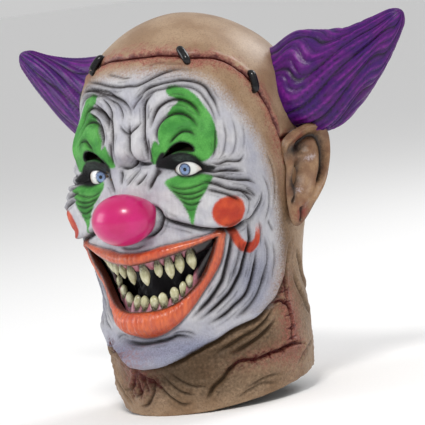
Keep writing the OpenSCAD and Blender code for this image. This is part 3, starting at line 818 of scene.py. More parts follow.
# Stitches cross the cut: level ones where it runs up the neck, upright ones where it runs back
for a, z in ((84, 78), (83.5, 68), (84.5, 57), (84.6, 46), (83.4, 37), (56, 27), (66, 29), (76, 30)):
    stitch = [(a - 1, z - 5), (a, z), (a + 1, z + 5)]
    if z > 35:
        stitch = [(a - 4.5, z - 0.5), (a, z), (a + 4.5, z + 0.8)]
    face.carve(stitch, 1.0, 0.9, 0.75, colour="blood")
for line in (
    [(-36, 56), (-27, 46), (-20, 40), (-13, 34.5), (-9, 29.5)],
    [(-9, 30), (-14, 22), (-19, 12), (-22, 3)], [(-9, 29), (-11, 20), (-13, 10), (-14, 3)],
    [(-8, 28.6), (-6, 18), (-7, 8)], [(-7, 28), (-2, 19), (2, 11)], [(-30, 50), (-34, 44), (-40, 42)],
):
    face.carve(line, 1.7, 1.8, 0.8, colour="blood", swell=0.8)

# Lips: fleshy rolls round the opening
LIP_EDGE = [(0, 130.6), (8, 131.4), (15, 134), (24, 135.2), (33, 136.6), (40, 139), (44.6, 142), (47, 139.4),
            (46.4, 128), (45.2, 118), (42.6, 109), (38.6, 100), (33, 90), (28, 81), (23, 73), (18, 66),
            (12, 60.5), (6, 57.4), (0, 56.4)]
lip_depth = face.depth_in(both_halves(LIP_EDGE), 12)
mouth_gap = -face.depth_in(mouth_outline, 30)
lip_share = np.clip(mouth_gap / np.maximum(mouth_gap + lip_depth, 0.5), 0, 1)
lip_width = np.maximum(mouth_gap + lip_depth, 0)
on_lip = (lip_depth > 0) & (mouth_gap < 29)
lip_roll = np.sin(math.pi * (0.16 + 0.84 * lip_share)) * np.minimum(1.3 + 0.25 * lip_width, 6.5)
lip_angle_wave = np.sin(face.angle * 2.2 + 1.5 * np.sin(face.angle * 0.7))
lip_roll += 0.55 * lip_angle_wave * np.sin(math.pi * lip_share) * smooth_step(lip_width, 6, 14)
face.rise = np.where(on_lip, face.rise * 0.35 + lip_roll, face.rise)
face.rise -= 1.4 * np.exp(-((lip_depth + 1.0) / 1.5) ** 2)
face.paint["lip"] = smooth_step(lip_depth, -0.9, 0.7) * (mouth_gap < 29)
lip_line = np.exp(-((lip_depth + 0.8) / 0.9) ** 2)
face.paint["wash"] = np.maximum(face.layer("wash"), 0.75 * lip_line)
face.paint["liner"] = 0.85 * smooth_step(2.2 - mouth_gap, 0, 2.2) * (mouth_gap < 5)

# Lids follow the eyeballs, which sit close behind them
EYE_CENTRE = np.array([44.0, -59.0, 195.0])
LID_RADIUS = 16.6
LID_BACK_RADIUS = 15.2
LID_REACH = 6.5
surface = face.shape()
for way in (1, -1):
    centre = EYE_CENTRE * (way, 1, 1)
    off = surface - centre
    away = np.linalg.norm(off, axis=1)
    lifted = centre + unit(off) * LID_RADIUS
    close = away < LID_RADIUS
    surface = np.where(close[:, None], lifted, surface)
for opening, way in (("eye_left", 1), ("eye_right", -1)):
    centre = EYE_CENTRE * (way, 1, 1)
    lid_gap = -face.depth_in(outlines[opening], 12)
    hug = smooth_step(LID_REACH - lid_gap, 0, LID_REACH)
    off = surface - centre
    away = np.linalg.norm(off, axis=1)
    wanted = centre + unit(off) * np.minimum(away, LID_RADIUS + 0.1)[:, None]
    surface = surface + hug[:, None] * (wanted - surface)

# Greasepaint: white over the face, green round the eyes, red on lips and cheeks
WHITE_EDGE = [
    (0, 280), (20, 279), (36, 274), (48, 264), (56, 249), (64, 230), (71, 207), (75, 180), (78, 155),
    (80, 135), (81, 115), (80, 98), (74, 80), (67, 69), (60, 62), (51, 58.6), (44, 55), (37, 49.8),
    (31, 46.6), (27, 44), (22, 41), (18, 37.8), (12, 34.6), (6, 32.4), (0, 32),
]
white_depth = face.depth_in(both_halves(WHITE_EDGE), 14)
white_soft = np.where(face.height < 66, 1.4, 11.0)
face.paint["white"] = smooth_step(white_depth, -white_soft, white_soft)
face.cover("green", [
    (18.5, 219), (18, 226), (20, 234), (24, 243), (27, 248.5), (30, 251.5), (29, 255), (25, 259),
    (24.5, 264), (28, 266), (34, 263.5), (38, 259), (41.5, 252), (44, 244), (46.5, 235), (47.6, 225),
    (47.4, 212), (44, 203.5), (40, 200), (36, 203), (30, 205), (24, 205), (18, 203), (12.6, 202.6),
    (12.4, 208), (13.6, 215), (16, 222)], 1.0, mirror=True)
face.cover("green", [
    (19.5, 187.5), (21, 182.5), (24, 176), (27.4, 169), (29.8, 160), (31.2, 152), (32, 146), (32.8, 152),
    (34, 160), (36, 168), (38.6, 174), (41, 180), (43.5, 187), (38, 189), (31, 188), (25, 189)], 1.1,
    mirror=True)
face.cover("liner", [
    (15.5, 204), (19.5, 208), (25, 210), (31, 210), (36.5, 206), (41, 199.4), (45.5, 193.8), (42, 189.8),
    (37, 186.8), (31, 185.2), (25.6, 186.8), (21, 191.4), (17.2, 197)], 1.0, mirror=True)
# Black paint, a little wider than each slot's opening, stands in for the shade of the hole
for way, shift in ((1, 0), (-1, RIGHT_EYE_SHIFT)):
    slot_shade_outline = [(a + (a - 28) * 0.12, z + (z - 213) * 0.18) for a, z in SLOT_EDGE]
    face.cover("liner", [(way * a + shift, z) for a, z in slot_shade_outline], 1.0)
face.cover("liner", [(15, 200), (16, 206), (18.5, 211), (21, 212), (21, 207), (19.5, 202), (18, 198)], 1.0,
           mirror=True)
# A green-grey band on the black upper lids, painted as their highlight
face.cover("lid_highlight", [(24, 206.5), (28, 207.8), (33, 207.4), (37, 203), (36, 202.6), (31, 204.6), (26, 204)],
           1.0, 0.4, mirror=True)
cheek_ring = [(48.5 + 7.5 * math.cos(t), 157 + 12.2 * math.sin(t)) for t in np.linspace(0, 6.28, 13)[:-1]]
face.cover("red", cheek_ring, 1.0, mirror=True)
TEAR = ((49, 143), (51.5, 135.5), (54, 128), (57.5, 122.8), (61, 122), (64, 126.4), (65.4, 134), (65.4, 142))
for way in (1, -1):
    tear = smooth_line([(way * a, z) for a, z in TEAR])
    picked = face.near(tear, 8)
    gap, share, _ = face.measure(tear, picked)
    stroke = smooth_step(4.4 - 2.4 * np.abs(share - 0.45) - gap, -0.8, 0.8)
    stroke = stroke * smooth_step(1.02 - share, 0, 0.25)
    face.layer("red")[picked] = np.maximum(face.layer("red")[picked], stroke)
# Airbrushed marks: painted shadow, grime with painted shade, and scabs. Layer, angle, height, spread in
# degrees and in height, strength
for layer, a, z, spread_a, spread_z, amount in (
    ("grime_and_shade", 14, 22, 38, 16, 0.85),
    ("grime_and_shade", 30, 36, 30, 9, 0.7),
    ("grime_and_shade", 60, 42, 30, 16, 0.55),
    ("grime_and_shade", 84, 120, 10, 60, 0.45),
    ("grime_and_shade", 50, 8, 50, 14, 0.35),
    ("grime_and_shade", 96, 60, 16, 40, 0.35),
    ("grime_and_shade", -14, 30, 16, 14, 0.6),
    ("shadow", 20, 44, 34, 15, 0.9),
    ("shadow", 62, 92, 15, 36, 0.75),
    ("shadow", -20, 44, 34, 15, 0.9),
    ("shadow", -62, 92, 15, 36, 0.75),
    ("shadow", 0, 144, 24, 9, 0.5),
    ("shadow", 22, 205, 14, 12, 0.4),
    ("shadow", 66, 190, 10, 40, 0.35),
    ("shadow", 0, 258, 14, 12, 0.2),
    ("shadow", -22, 205, 14, 12, 0.4),
    ("shadow", -66, 190, 10, 40, 0.35),
    ("shadow", 0, 258, 14, 12, 0.2),
    ("grime_and_shade", 150, 60, 60, 50, 0.25),
    ("grime_and_shade", -150, 60, 60, 50, 0.25),
    ("scab", 85, 52, 9, 34, 0.8),
    ("scab", 72, 26, 22, 9, 0.5),
    ("scab", -14, 28, 12, 18, 0.5),
    ("scab", 84, 214, 5, 36, 0.45),
    ("scab", -84, 214, 5, 36, 0.45),
):
    face.shade(layer, a, z, spread_a, spread_z, amount)

# The seam: the skin's edge dips to meet the scalp, dark in the cut and sore along it
seam_gap = seam_height(face.angle) - face.height
slant = np.abs(np.gradient(seam_height(columns), columns))
seam_away = seam_gap / np.sqrt(1 + (np.tile(slant, ROWS) / DEGREE) ** 2)
ragged = seam_ragged(face.spot)
face_cut = np.exp(-(np.maximum(seam_away + 0.9 * ragged, 0) / 2.3) ** 2)
face.paint["blood"] = np.maximum(face.layer("blood"), face_cut)
face.paint["scab"] = np.maximum(face.layer("scab"), 0.9 * np.exp(-(seam_away / (7 + 3 * ragged)) ** 2))
uneven = 0.22 * ripple(face.spot, 12, 5) + 0.10 * ripple(face.spot, 5, 6)
neck_crumple = smooth_step(60 - face.height, 0, 40) * 0.35 * ripple(face.spot * (1, 1, 2.2), 7, 7)
surface = surface + face.out * (seam_profile(seam_away, ragged) + uneven + neck_crumple)[:, None]

# Rolled edges, as (towards the opening, into the head) for each ring of an edge
ROLLS = {
    "mouth": ((0.7, 0.8), (1.0, 2.2), (0.8, 4.0), (-0.4, 6.0)),
    "eye": ((0.25, 0.25), (0.35, 0.8), (0.2, 1.6), (-0.4, 2.6)),
    "slot": ((0.4, 0.5), (0.5, 1.8), (0.2, 3.4), (-0.3, 5.0)),
}
points = [surface]
faces = [kept]
carried = {name: [values] for name, values in face.paint.items()}
total = len(surface)
edges_used = {}
for quad in kept:
    for u, v in zip(quad, np.roll(quad, -1)):
        edges_used[(int(u), int(v))] = True
open_edges = [(u, v) for u, v in edges_used if (v, u) not in edges_used]
for opening, on_edge in edge_points_of.items():
    members = set(on_edge.tolist())
    rim_edges = [(u, v) for u, v in open_edges if u in members and v in members]
    used = np.unique(np.array(rim_edges))
    place = {int(point): k for k, point in enumerate(used)}
    toward = toward_angle[used, None] * face.along[used] + toward_height[used, None] * face.up[used]
    before = used.copy()
    for inward_by, down_by in ROLLS[opening.split("_")[0]]:
        ring = surface[used] + toward * inward_by - face.out[used] * down_by
        if opening.startswith("eye") and down_by > 2:
            centre = EYE_CENTRE * (1 if opening.endswith("left") else -1, 1, 1)
            ring = centre + unit(ring - centre) * LID_BACK_RADIUS
        points.append(ring)
        numbers = total + np.arange(len(used))
        from_u, from_v = np.array([(place[u], place[v]) for u, v in rim_edges]).T
        faces.append(np.stack([before[from_v], before[from_u], numbers[from_u], numbers[from_v]], 1))
        for name in carried:
            carried[name].append(face.paint[name][used])
        total += len(used)
        before = numbers
# The neck rim and the edge at the seam are rounded over and turned in by the wall's thickness
for row, sink_way in ((0, 1), (ROWS - 1, -1)):
    before = index[row]
    for rise_by, down_by in ((-0.5 * sink_way, 1.5), (0.0, WALL)):
        ring = surface[index[row]] - face.out[index[row]] * down_by + face.up[index[row]] * rise_by
        points.append(ring)
        numbers = total + np.arange(count)
        edge_faces = np.stack([before, numbers, np.roll(numbers, -1), np.roll(before, -1)], 1)
        faces.append(edge_faces if sink_way > 0 else edge_faces[:, ::-1])
        for name in carried:
            carried[name].append(face.paint[name][index[row]])
        total += count
        before = numbers

# The inside of the skin: a smoother copy, the wall's thickness in
INSIDE_STEP = 4
EYE_ROOM = 3.0
soft_rise = face.rise.reshape(ROWS, count)
lowest = np.pad(soft_rise, ((4, 4), (0, 0)), mode="edge")
lowest = np.min([lowest[k:k + ROWS] for k in range(9)], axis=0)
soft_rise = np.min([np.roll(lowest, k, axis=1) for k in range(-4, 5)], axis=0)
for _ in range(3):
    padded = np.pad(soft_rise, ((3, 3), (0, 0)), mode="edge")
    soft_rise = sum(padded[k:k + ROWS] for k in range(7)) / 7
    soft_rise = sum(np.roll(soft_rise, k, axis=1) for k in range(-3, 4)) / 7
inner_surface = face.spot + face.out * (soft_rise.ravel() - WALL)[:, None]
for way in (1, -1):
    off = inner_surface - EYE_CENTRE * (way, 1, 1)
    close = np.linalg.norm(off, axis=1) < LID_RADIUS + EYE_ROOM
    inner_surface = np.where(close[:, None], inner_surface - face.out * 1.5, inner_surface)
row_pick = np.unique(np.append(np.arange(0, ROWS, INSIDE_STEP), ROWS - 1))
column_pick = np.arange(0, count, INSIDE_STEP)
inner_points = inner_surface.reshape(ROWS, count, 3)[np.ix_(row_pick, column_pick)].reshape(-1, 3)
inner_angle = grid_angle[np.ix_(row_pick, column_pick)]
inner_height = grid_height[np.ix_(row_pick, column_pick)]
inner_index = total + np.arange(len(inner_points)).reshape(len(row_pick), len(column_pick))
inner_quads = grid_faces(inner_index)[:, [0, 3, 2, 1]]
middle_angle = (inner_angle[:-1] + HALF_COLUMN * INSIDE_STEP).ravel()
middle_height = ((inner_height[:-1] + inner_height[1:]) / 2).ravel()
solid_part = np.ones(len(inner_quads), bool)
for outline in outlines.values():
    for shift_a, shift_z in ((0, 0), (1.2, 0), (-1.2, 0), (0, 2), (0, -2)):
        solid_part &= ~is_inside(middle_angle + shift_a, middle_height + shift_z, outline)
outer_faces = np.vstack(faces)
points.append(inner_points)
for name in carried:
    carried[name].append(np.zeros(len(inner_points)))
all_faces = np.vstack([outer_faces, inner_quads[solid_part]])
face_layers = {name: np.concatenate(parts) for name, parts in carried.items()}
for name in ("white", "shadow", "green", "red", "lip", "wash", "liner", "lid_highlight", "grime_and_shade", "blood", "scab"):
    face_layers.setdefault(name, np.zeros(total + len(inner_points)))


def painted_layer(tree, name):
    """A sculpted mask that the mesh carries."""
    return put(tree, "ShaderNodeAttribute", attribute_name=name).outputs["Fac"]


def lay(tree, under, colour, mask, ragged, grain):
    """Brushes a colour over another, where a mask that the mesh carries says so."""
    layer = place_group(tree, paint_group, Under=under, Paint=colour, Cover=painted_layer(tree, mask),
                        Ragged=ragged, Grain_Scale=grain)
    return layer.outputs["Color"]


def lay_sore(tree, under, speckle):
    """Scabbed pink skin."""
    sore = tint(tree, speckle, (0.18, 0.04, 0.03), (0.40, 0.15, 0.115))
    return lay(tree, under, sore, "scab", 0.7, 350.0)


def lay_blood(tree, under):
    """Dark dried blood."""
    return lay(tree, under, (0.075, 0.008, 0.008), "blood", 0.8, 420.0)


def tan_latex(tree):
    """The bare tan of the latex, with patches, speckle and streaks."""
    patches, speckle, _ = mottled(tree, 38.0, 700.0)
    base = tint(tree, patches, (0.28, 0.17, 0.095), (0.40, 0.275, 0.175))
    base = thin_tint(tree, speckle, 0.35, base, (0.22, 0.14, 0.085))
    flecks = between(tree, speckle, 0.8, 1.0, 0.0, 0.25)
    return tint(tree, flecks, base, (0.12, 0.07, 0.04))


def face_paint(name, roughness, specular, coat):
    """Greasepaint over tan latex, with a wash in the creases; the lips' copy has a gloss coat."""
    material, tree, shader = new_finish(name, roughness, specular, coat, 0.2)
    patches, speckle, streaks = mottled(tree, 75.0, 900.0)
    colour = tan_latex(tree)
    # Grime, with painted shade under the jaw and chin and in the neck's folds
    colour = lay(tree, colour, (0.05, 0.028, 0.012), "grime_and_shade", 0.35, 420.0)
    white = tint(tree, patches, (0.60, 0.595, 0.615), (0.48, 0.48, 0.53))
    white = thin_tint(tree, streaks, 0.16, white, (0.26, 0.24, 0.26))
    bluish = tint(tree, speckle, (0.23, 0.25, 0.37), (0.13, 0.14, 0.21))
    white = thin_tint(tree, painted_layer(tree, "shadow"), 0.95, white, bluish)
    colour = lay(tree, colour, white, "white", 0.5, 650.0)
    colour = lay_sore(tree, colour, speckle)
    green = tint(tree, patches, (0.045, 0.25, 0.04), (0.11, 0.42, 0.08))
    green = thin_tint(tree, speckle, 0.35, green, (0.03, 0.17, 0.03))
    colour = lay(tree, colour, green, "green", 0.6, 800.0)
    red = tint(tree, patches, (0.60, 0.085, 0.03), (0.44, 0.04, 0.02))
    colour = lay(tree, colour, red, "red", 0.5, 700.0)
    lip_red = tint(tree, patches, (0.70, 0.14, 0.035), (0.58, 0.085, 0.022))
    lip_red = thin_tint(tree, streaks, 0.5, lip_red, (0.36, 0.035, 0.02))
    colour = lay(tree, colour, lip_red, "lip", 0.25, 500.0)
    colour = lay(tree, colour, (0.003, 0.003, 0.004), "liner", 0.3, 900.0)
    # The upper lids' painted highlight
    lid_highlight_tone = tint(tree, patches, (0.02, 0.035, 0.028), (0.07, 0.10, 0.09))
    colour = lay(tree, colour, lid_highlight_tone, "lid_highlight", 0.5, 500.0)
    washed = tint(tree, 1.0, colour, (0.13, 0.11, 0.11), "MULTIPLY")
    washed = tint(tree, 0.5, washed, (0.010, 0.008, 0.008))
    colour = lay(tree, colour, washed, "wash", 0.22, 1100.0)
    colour = lay_blood(tree, colour)
    feed(tree, shader.inputs["Base Color"], colour)
    wet = reckon(tree, "MAXIMUM", painted_layer(tree, "lip"), painted_layer(tree, "blood"))
    feed(tree, shader.inputs["Roughness"], between(tree, wet, 0.0, 1.0, 0.46, 0.28))
    add_relief(tree, shader, 0.75, 0.0008, 1100.0, 330.0)
    return material


face_finish = face_paint("painted_face_latex", 0.42, 0.22, 0.0)
lip_finish = face_paint("glossy_lip_latex", 0.35, 0.5, 0.45)
# The inside of the latex is coloured a darker brown than the tan outside
inner_finish, tree, shader = new_finish("dark_inner_latex", roughness=0.6, specular=0.35)
patches, _, _ = mottled(tree, 25.0, 500.0)
feed(tree, shader.inputs["Base Color"], tint(tree, patches, (0.10, 0.065, 0.038), (0.16, 0.11, 0.07)))
add_relief(tree, shader, 0.4, 0.0006)
skin_finishes = [face_finish, inner_finish, lip_finish]
finish_of = (np.arange(len(all_faces)) >= len(outer_faces)).astype(np.int32)
finish_of[face_layers["lip"][all_faces].min(axis=1) > 0.5] = 2
head_piece = make_mesh("head_skin_cast", np.vstack(points), all_faces.tolist(), skin_finishes, face_layers,
                       finish_of)
fit_piece(head_piece, "face_latex", "head_skin")

# ---- Scalp -----------------------------------------------------------------------------------
# The bald top of the head is a second latex cap, tan all over. It butts against the face skin
# along a ragged cut that is painted dark red, with sore pink edges.
CAP_ROWS = 64
cap_columns = columns[::2]
lift = np.linspace(0, 1, CAP_ROWS + 1)[:-1, None]
cap_start = seam_height(cap_columns) + 0.3
cap_height = cap_start + np.sin(lift ** 0.9 * math.pi / 2) * (CROWN_Z - cap_start)
scalp = Skin(np.tile(cap_columns, (CAP_ROWS, 1)), cap_height)
cap_slant = np.tile(slant[::2], CAP_ROWS)
cap_away = (scalp.height - seam_height(scalp.angle)) / np.sqrt(1 + (cap_slant / DEGREE) ** 2)
ragged = seam_ragged(scalp.spot)
scalp.rise += seam_profile(cap_away, ragged)
scalp.rise += 0.25 * ripple(scalp.spot, 30, 8) * smooth_step(CROWN_Z - scalp.height, 0, 20)
scalp.paint["blood"] = np.exp(-(np.maximum(cap_away - 0.8 * ragged, 0) / 1.9) ** 2)
scalp.paint["scab"] = 0.85 * np.exp(-(cap_away / (6 + 2.5 * ragged)) ** 2)
cap_count = len(cap_columns)
cap_outer = scalp.shape()
cap_inner = scalp.spot - scalp.out * WALL
cap_index = np.arange(CAP_ROWS * cap_count).reshape(CAP_ROWS, cap_count)
cap_right = np.roll(cap_index, -1, axis=1)
cap_quads = grid_faces(cap_index)
below = len(cap_outer) + 1
crown = [0.0, section_at(np.array([CROWN_Z]), 4)[0], CROWN_Z]
cap_points = np.vstack([cap_outer, [crown], cap_inner, [np.subtract(crown, (0, 0, WALL))]])
cap_faces = cap_quads.tolist()
cap_faces += [(int(p), int(q), below - 1) for p, q in zip(cap_index[-1], cap_right[-1])]
lip_quads = np.stack([cap_index[0], cap_index[0] + below, cap_right[0] + below, cap_right[0]], 1)
cap_faces += lip_quads.tolist()
inside_from = len(cap_faces)
cap_faces += (cap_quads[:, ::-1] + below).tolist()
cap_faces += [(int(q) + below, int(p) + below, 2 * below - 1) for p, q in zip(cap_index[-1], cap_right[-1])]
cap_layers = {name: np.concatenate([values, [0], values, [0]]) for name, values in scalp.paint.items()}
scalp_finish, tree, shader = new_finish("tan_scalp_latex", roughness=0.42, specular=0.45)
_, speckle, _ = mottled(tree, 75.0, 900.0)
colour = lay_blood(tree, lay_sore(tree, tan_latex(tree), speckle))
feed(tree, shader.inputs["Base Color"], colour)
add_relief(tree, shader, 0.35, 0.0005)
cap_piece = make_mesh("scalp_cap_cast", cap_points, cap_faces, [scalp_finish, inner_finish], cap_layers,
                      np.arange(len(cap_faces)) >= inside_from)
fit_piece(cap_piece, "scalp_latex", "scalp_cap")

# ---- Scalp staples ---------------------------------------------------------------------------
# Fat black bent-wire staples span the cut. Each is a glossy cast bar on two short feet that
# are glued down on either side of it.
# Angle from the front, and lean in degrees
STAPLES = ((37, 20), (74, -2), (145, 5), (215, -5), (286, 4), (323, -10))
STAPLE_HALF = 7.6
STAPLE_RADIUS = 3.6
STAPLE_SIDES = 14
STAPLE_STEPS = 25
STAPLE_HIGH = 3.4
STAPLE_SUNK = 0.7


def swept_tube(path, radii, sides):
    """Rings of a round bar along a path, with both ends closed; returns points and faces."""
    path = np.asarray(path, float)
    run = unit(np.gradient(path, axis=0))
    guide = np.array([0.31, 0.17, 0.93])
    first = unit(np.cross(run, guide))
    second = np.cross(run, first)
    turn = np.linspace(0, 2 * math.pi, sides, endpoint=False)
    rings = path[:, None] + np.asarray(radii)[:, None, None] * (
        np.cos(turn)[:, None] * first[:, None] + np.sin(turn)[:, None] * second[:, None])
    return closed_rings(rings)


def closed_rings(rings):
    """Skins rings of points and closes both ends; returns points and faces."""
    rings = np.asarray(rings)
    steps, sides = rings.shape[:2]
    number = np.arange(steps * sides).reshape(steps, sides)
    across = np.roll(number, -1, axis=1)
    skin = grid_faces(number).tolist()
    ends = np.vstack([rings[0].mean(0), rings[-1].mean(0)])
    low, high = steps * sides, steps * sides + 1
    skin += [(int(q), int(p), low) for p, q in zip(number[0], across[0])]
    skin += [(int(p), int(q), high) for p, q in zip(number[-1], across[-1])]
    return np.vstack([rings.reshape(-1, 3), ends]), skin


def gather(parts):
    """Joins several (points, faces) into one."""
    points, faces, start = [], [], 0
    for part_points, part_faces in parts:
        points.append(part_points)
        faces += [tuple(int(k) + start for k in one) for one in part_faces]
        start += len(part_points)
    return np.vstack(points), faces


bars = []
share_along = np.linspace(-1, 1, STAPLE_STEPS)
for a, lean in STAPLES:
    z = seam_height(a)
    along, up, out = directions(a, z)
    bar_way = unit(up * math.cos(math.radians(lean)) - along * math.sin(math.radians(lean)))
    path = []
    for t in share_along:
        spot = on_head(a, z) + bar_way * STAPLE_HALF * math.sin(t * math.pi / 2 * 0.96)
        a_here = math.degrees(math.atan2(spot[0], section_at(spot[2], 4) - spot[1]))
        sag = (on_head(a_here, spot[2]) - spot) @ out
        bow = (1 - abs(t) ** 5) * STAPLE_HIGH - STAPLE_SUNK
        path.append(spot + out * (sag + bow))
    thick = STAPLE_RADIUS * (1 - 0.25 * np.abs(share_along) ** 3)
    bars.append(swept_tube(path, thick, STAPLE_SIDES))
staple_points, staple_faces = gather(bars)
staple_finish, tree, shader = new_finish("glossy_black_staple", roughness=0.25, specular=0.3, coat=0.15)
patches, speckle, _ = mottled(tree, 200.0, 1500.0)
black = tint(tree, patches, (0.002, 0.002, 0.003), (0.006, 0.006, 0.007))
feed(tree, shader.inputs["Base Color"], black)
feed(tree, shader.inputs["Roughness"], between(tree, speckle, 0.0, 1.0, 0.16, 0.34))
staples = make_mesh("scalp_staples_cast", staple_points, staple_faces, [staple_finish])
fit_piece(staples, "staple", "scalp_staples")

# ---- Ears --------------------------------------------------------------------------------------
# Each ear is cast solid and glued over a flat on the side of the head. Its rim rolls over a
# deep hollow, its folds, hollow and rolled edge are darkened with painted shade, and the lobe
# has a torn slit.
EAR_MIDDLE = np.array([106.0, 24.0, 174.0])
EAR_HALF_HIGH = 43.0
EAR_HALF_WIDE = 23.0
EAR_FLARE = math.radians(18)
EAR_LEAN = math.tan(math.radians(19))
EAR_ANGLE = 100.0
EAR_ROOT_HALF_TURN = 8.0
EAR_ROOT_HALF_HIGH = 34.0
EAR_RINGS = 46
EAR_SIDES = 132
ear_back = np.array([math.sin(EAR_FLARE), math.cos(EAR_FLARE), 0])
ear_out = np.array([math.cos(EAR_FLARE), -math.sin(EAR_FLARE), 0])
turn = np.linspace(0, 2 * math.pi, EAR_SIDES, endpoint=False)
share_out = np.linspace(0.015, 1, EAR_RINGS)[:, None]
ear_u = share_out * np.cos(turn) * (1 + 0.2 * np.sin(turn))
ear_v = share_out * np.sin(turn)
lobe = smooth_step(-ear_v, 0.3, 1.0)
corner = smooth_step(ear_v, 0.1, 0.75) * smooth_step(-ear_u, 0.1, 0.8)
ear_u = ear_u * (1 - 0.1 * lobe) - 0.12 * lobe - 0.62 * corner - 0.08


def ear_line(points):
    """A smooth curve over the ear's face, in shares of its half width and half height."""
    p = np.array(points, float)
    p = np.vstack([2 * p[0] - p[1], p, 2 * p[-1] - p[-2]])
    return np.vstack([curve_piece(p, k, np.linspace(0, 1, 9)[:, None]) for k in range(1, len(p) - 2)])


def ear_gap(points):
    """Distance of each point of the ear's face to a curve, in millimetres."""
    line = ear_line(points) * (EAR_HALF_WIDE, EAR_HALF_HIGH)
    spots = np.stack([ear_u * EAR_HALF_WIDE, ear_v * EAR_HALF_HIGH], -1)
    best = np.full(ear_u.shape, 1e9)
    for start, end in zip(line[:-1], line[1:]):
        step = end - start
        t = np.clip(((spots - start) @ step) / max(step @ step, 1e-9), 0, 1)
        best = np.minimum(best, np.linalg.norm(spots - start - t[..., None] * step, axis=-1))
    return best


def ear_oval(u, v, wide, high):
    return np.exp(-((ear_u - u) / wide) ** 2 - ((ear_v - v) / high) ** 2)


helix = ear_gap([(-1.45, 0.44), (-1.32, 0.66), (-0.80, 0.84), (-0.45, 0.92), (-0.1, 0.93), (0.42, 0.86),
                 (0.82, 0.62), (0.93, 0.30), (0.88, 0.0), (0.70, -0.28), (0.45, -0.50)])
groove = ear_gap([(-0.58, 0.62), (-0.2, 0.72), (0.25, 0.68), (0.58, 0.42), (0.66, 0.10), (0.56, -0.15)])
antihelix = ear_gap([(-0.1, 0.42), (0.2, 0.30), (0.34, 0.05), (0.30, -0.22), (0.12, -0.44), (-0.15, -0.58)])
tragus = ear_gap([(-0.86, 0.22), (-0.72, 0.02), (-0.62, -0.14), (-0.68, -0.36)])
slit = ear_gap([(-0.18, -0.66), (-0.12, -0.76), (-0.10, -0.88)])
notch = ear_gap([(-0.50, -0.22), (-0.52, -0.38), (-0.56, -0.50)])
ear_rise = 5.2 * np.exp(-(helix / 3.6) ** 2) - 4.4 * np.exp(-(groove / 3.0) ** 2)
ear_rise += 3.0 * np.exp(-(antihelix / 4.0) ** 2) + 3.0 * np.exp(-(tragus / 3.2) ** 2)
ear_rise -= 10.5 * ear_oval(-0.40, 0.0, 0.34, 0.28) + 4.6 * ear_oval(-0.5, 0.54, 0.34, 0.13)
ear_rise += 2.0 * ear_oval(-0.1, -0.8, 0.5, 0.2) - 3.4 * np.exp(-(slit / 1.5) ** 2)
ear_rise -= 2.6 * np.exp(-(notch / 1.6) ** 2)
# Painted shade in the folds, the hollow, the slit and under the rim
ear_painted_shade = np.exp(-(groove / 2.8) ** 2) + 1.35 * ear_oval(-0.52, 0.0, 0.27, 0.27)
ear_painted_shade += 1.0 * np.exp(-(slit / 1.6) ** 2) + 0.7 * np.exp(-(notch / 1.8) ** 2)
ear_painted_shade += 1.1 * ear_oval(-0.75, 0.52, 0.5, 0.12) + 0.5 * ear_oval(-0.6, -0.25, 0.2, 0.25)
# Two small pale streaks on the ear's face
ear_pale = np.clip(0.7 * ear_oval(0.0, 0.30, 0.16, 0.05) + 0.6 * ear_oval(-0.28, -0.30, 0.14, 0.06), 0, 1)
ear_painted_shade = np.clip(np.clip(ear_painted_shade, 0, 1) + 0.35 * smooth_step(share_out, 0.9, 1.0), 0, 1)
ear_red = np.clip(ear_oval(-0.1, -0.75, 0.3, 0.14) + 0.7 * ear_oval(-0.7, 0.72, 0.3, 0.12), 0, 1)
ear_rise = ear_rise * (1 - 0.55 * smooth_step(share_out, 0.93, 1.0))
ear_finish, tree, shader = new_finish("ear_latex_with_painted_shade", roughness=0.4, specular=0.45)
patches, speckle, _ = mottled(tree, 90.0, 800.0)
skin_tone = tint(tree, patches, (0.21, 0.105, 0.055), (0.36, 0.22, 0.12))
skin_tone = thin_tint(tree, speckle, 0.3, skin_tone, (0.17, 0.08, 0.045))
colour = lay(tree, skin_tone, (0.22, 0.045, 0.03), "sore", 0.6, 400.0)
colour = lay(tree, colour, (0.50, 0.42, 0.42), "worn", 0.9, 700.0)
# Painted shade in the folds, the hollow and under the rim
colour = lay(tree, colour, (0.014, 0.006, 0.004), "hollow", 0.35, 500.0)
feed(tree, shader.inputs["Base Color"], colour)
add_relief(tree, shader, 0.45, 0.0006)


def on_ear(u, v, rise):
    """Points over the ear's face, in shares of its half width and half height, raised in millimetres."""
    flat = EAR_MIDDLE + (u * EAR_HALF_WIDE + v * EAR_HALF_HIGH * EAR_LEAN)[..., None] * ear_back
    flat = flat + (v * EAR_HALF_HIGH)[..., None] * np.array([0, 0, 1.0])
    return flat + np.asarray(rise)[..., None] * ear_out


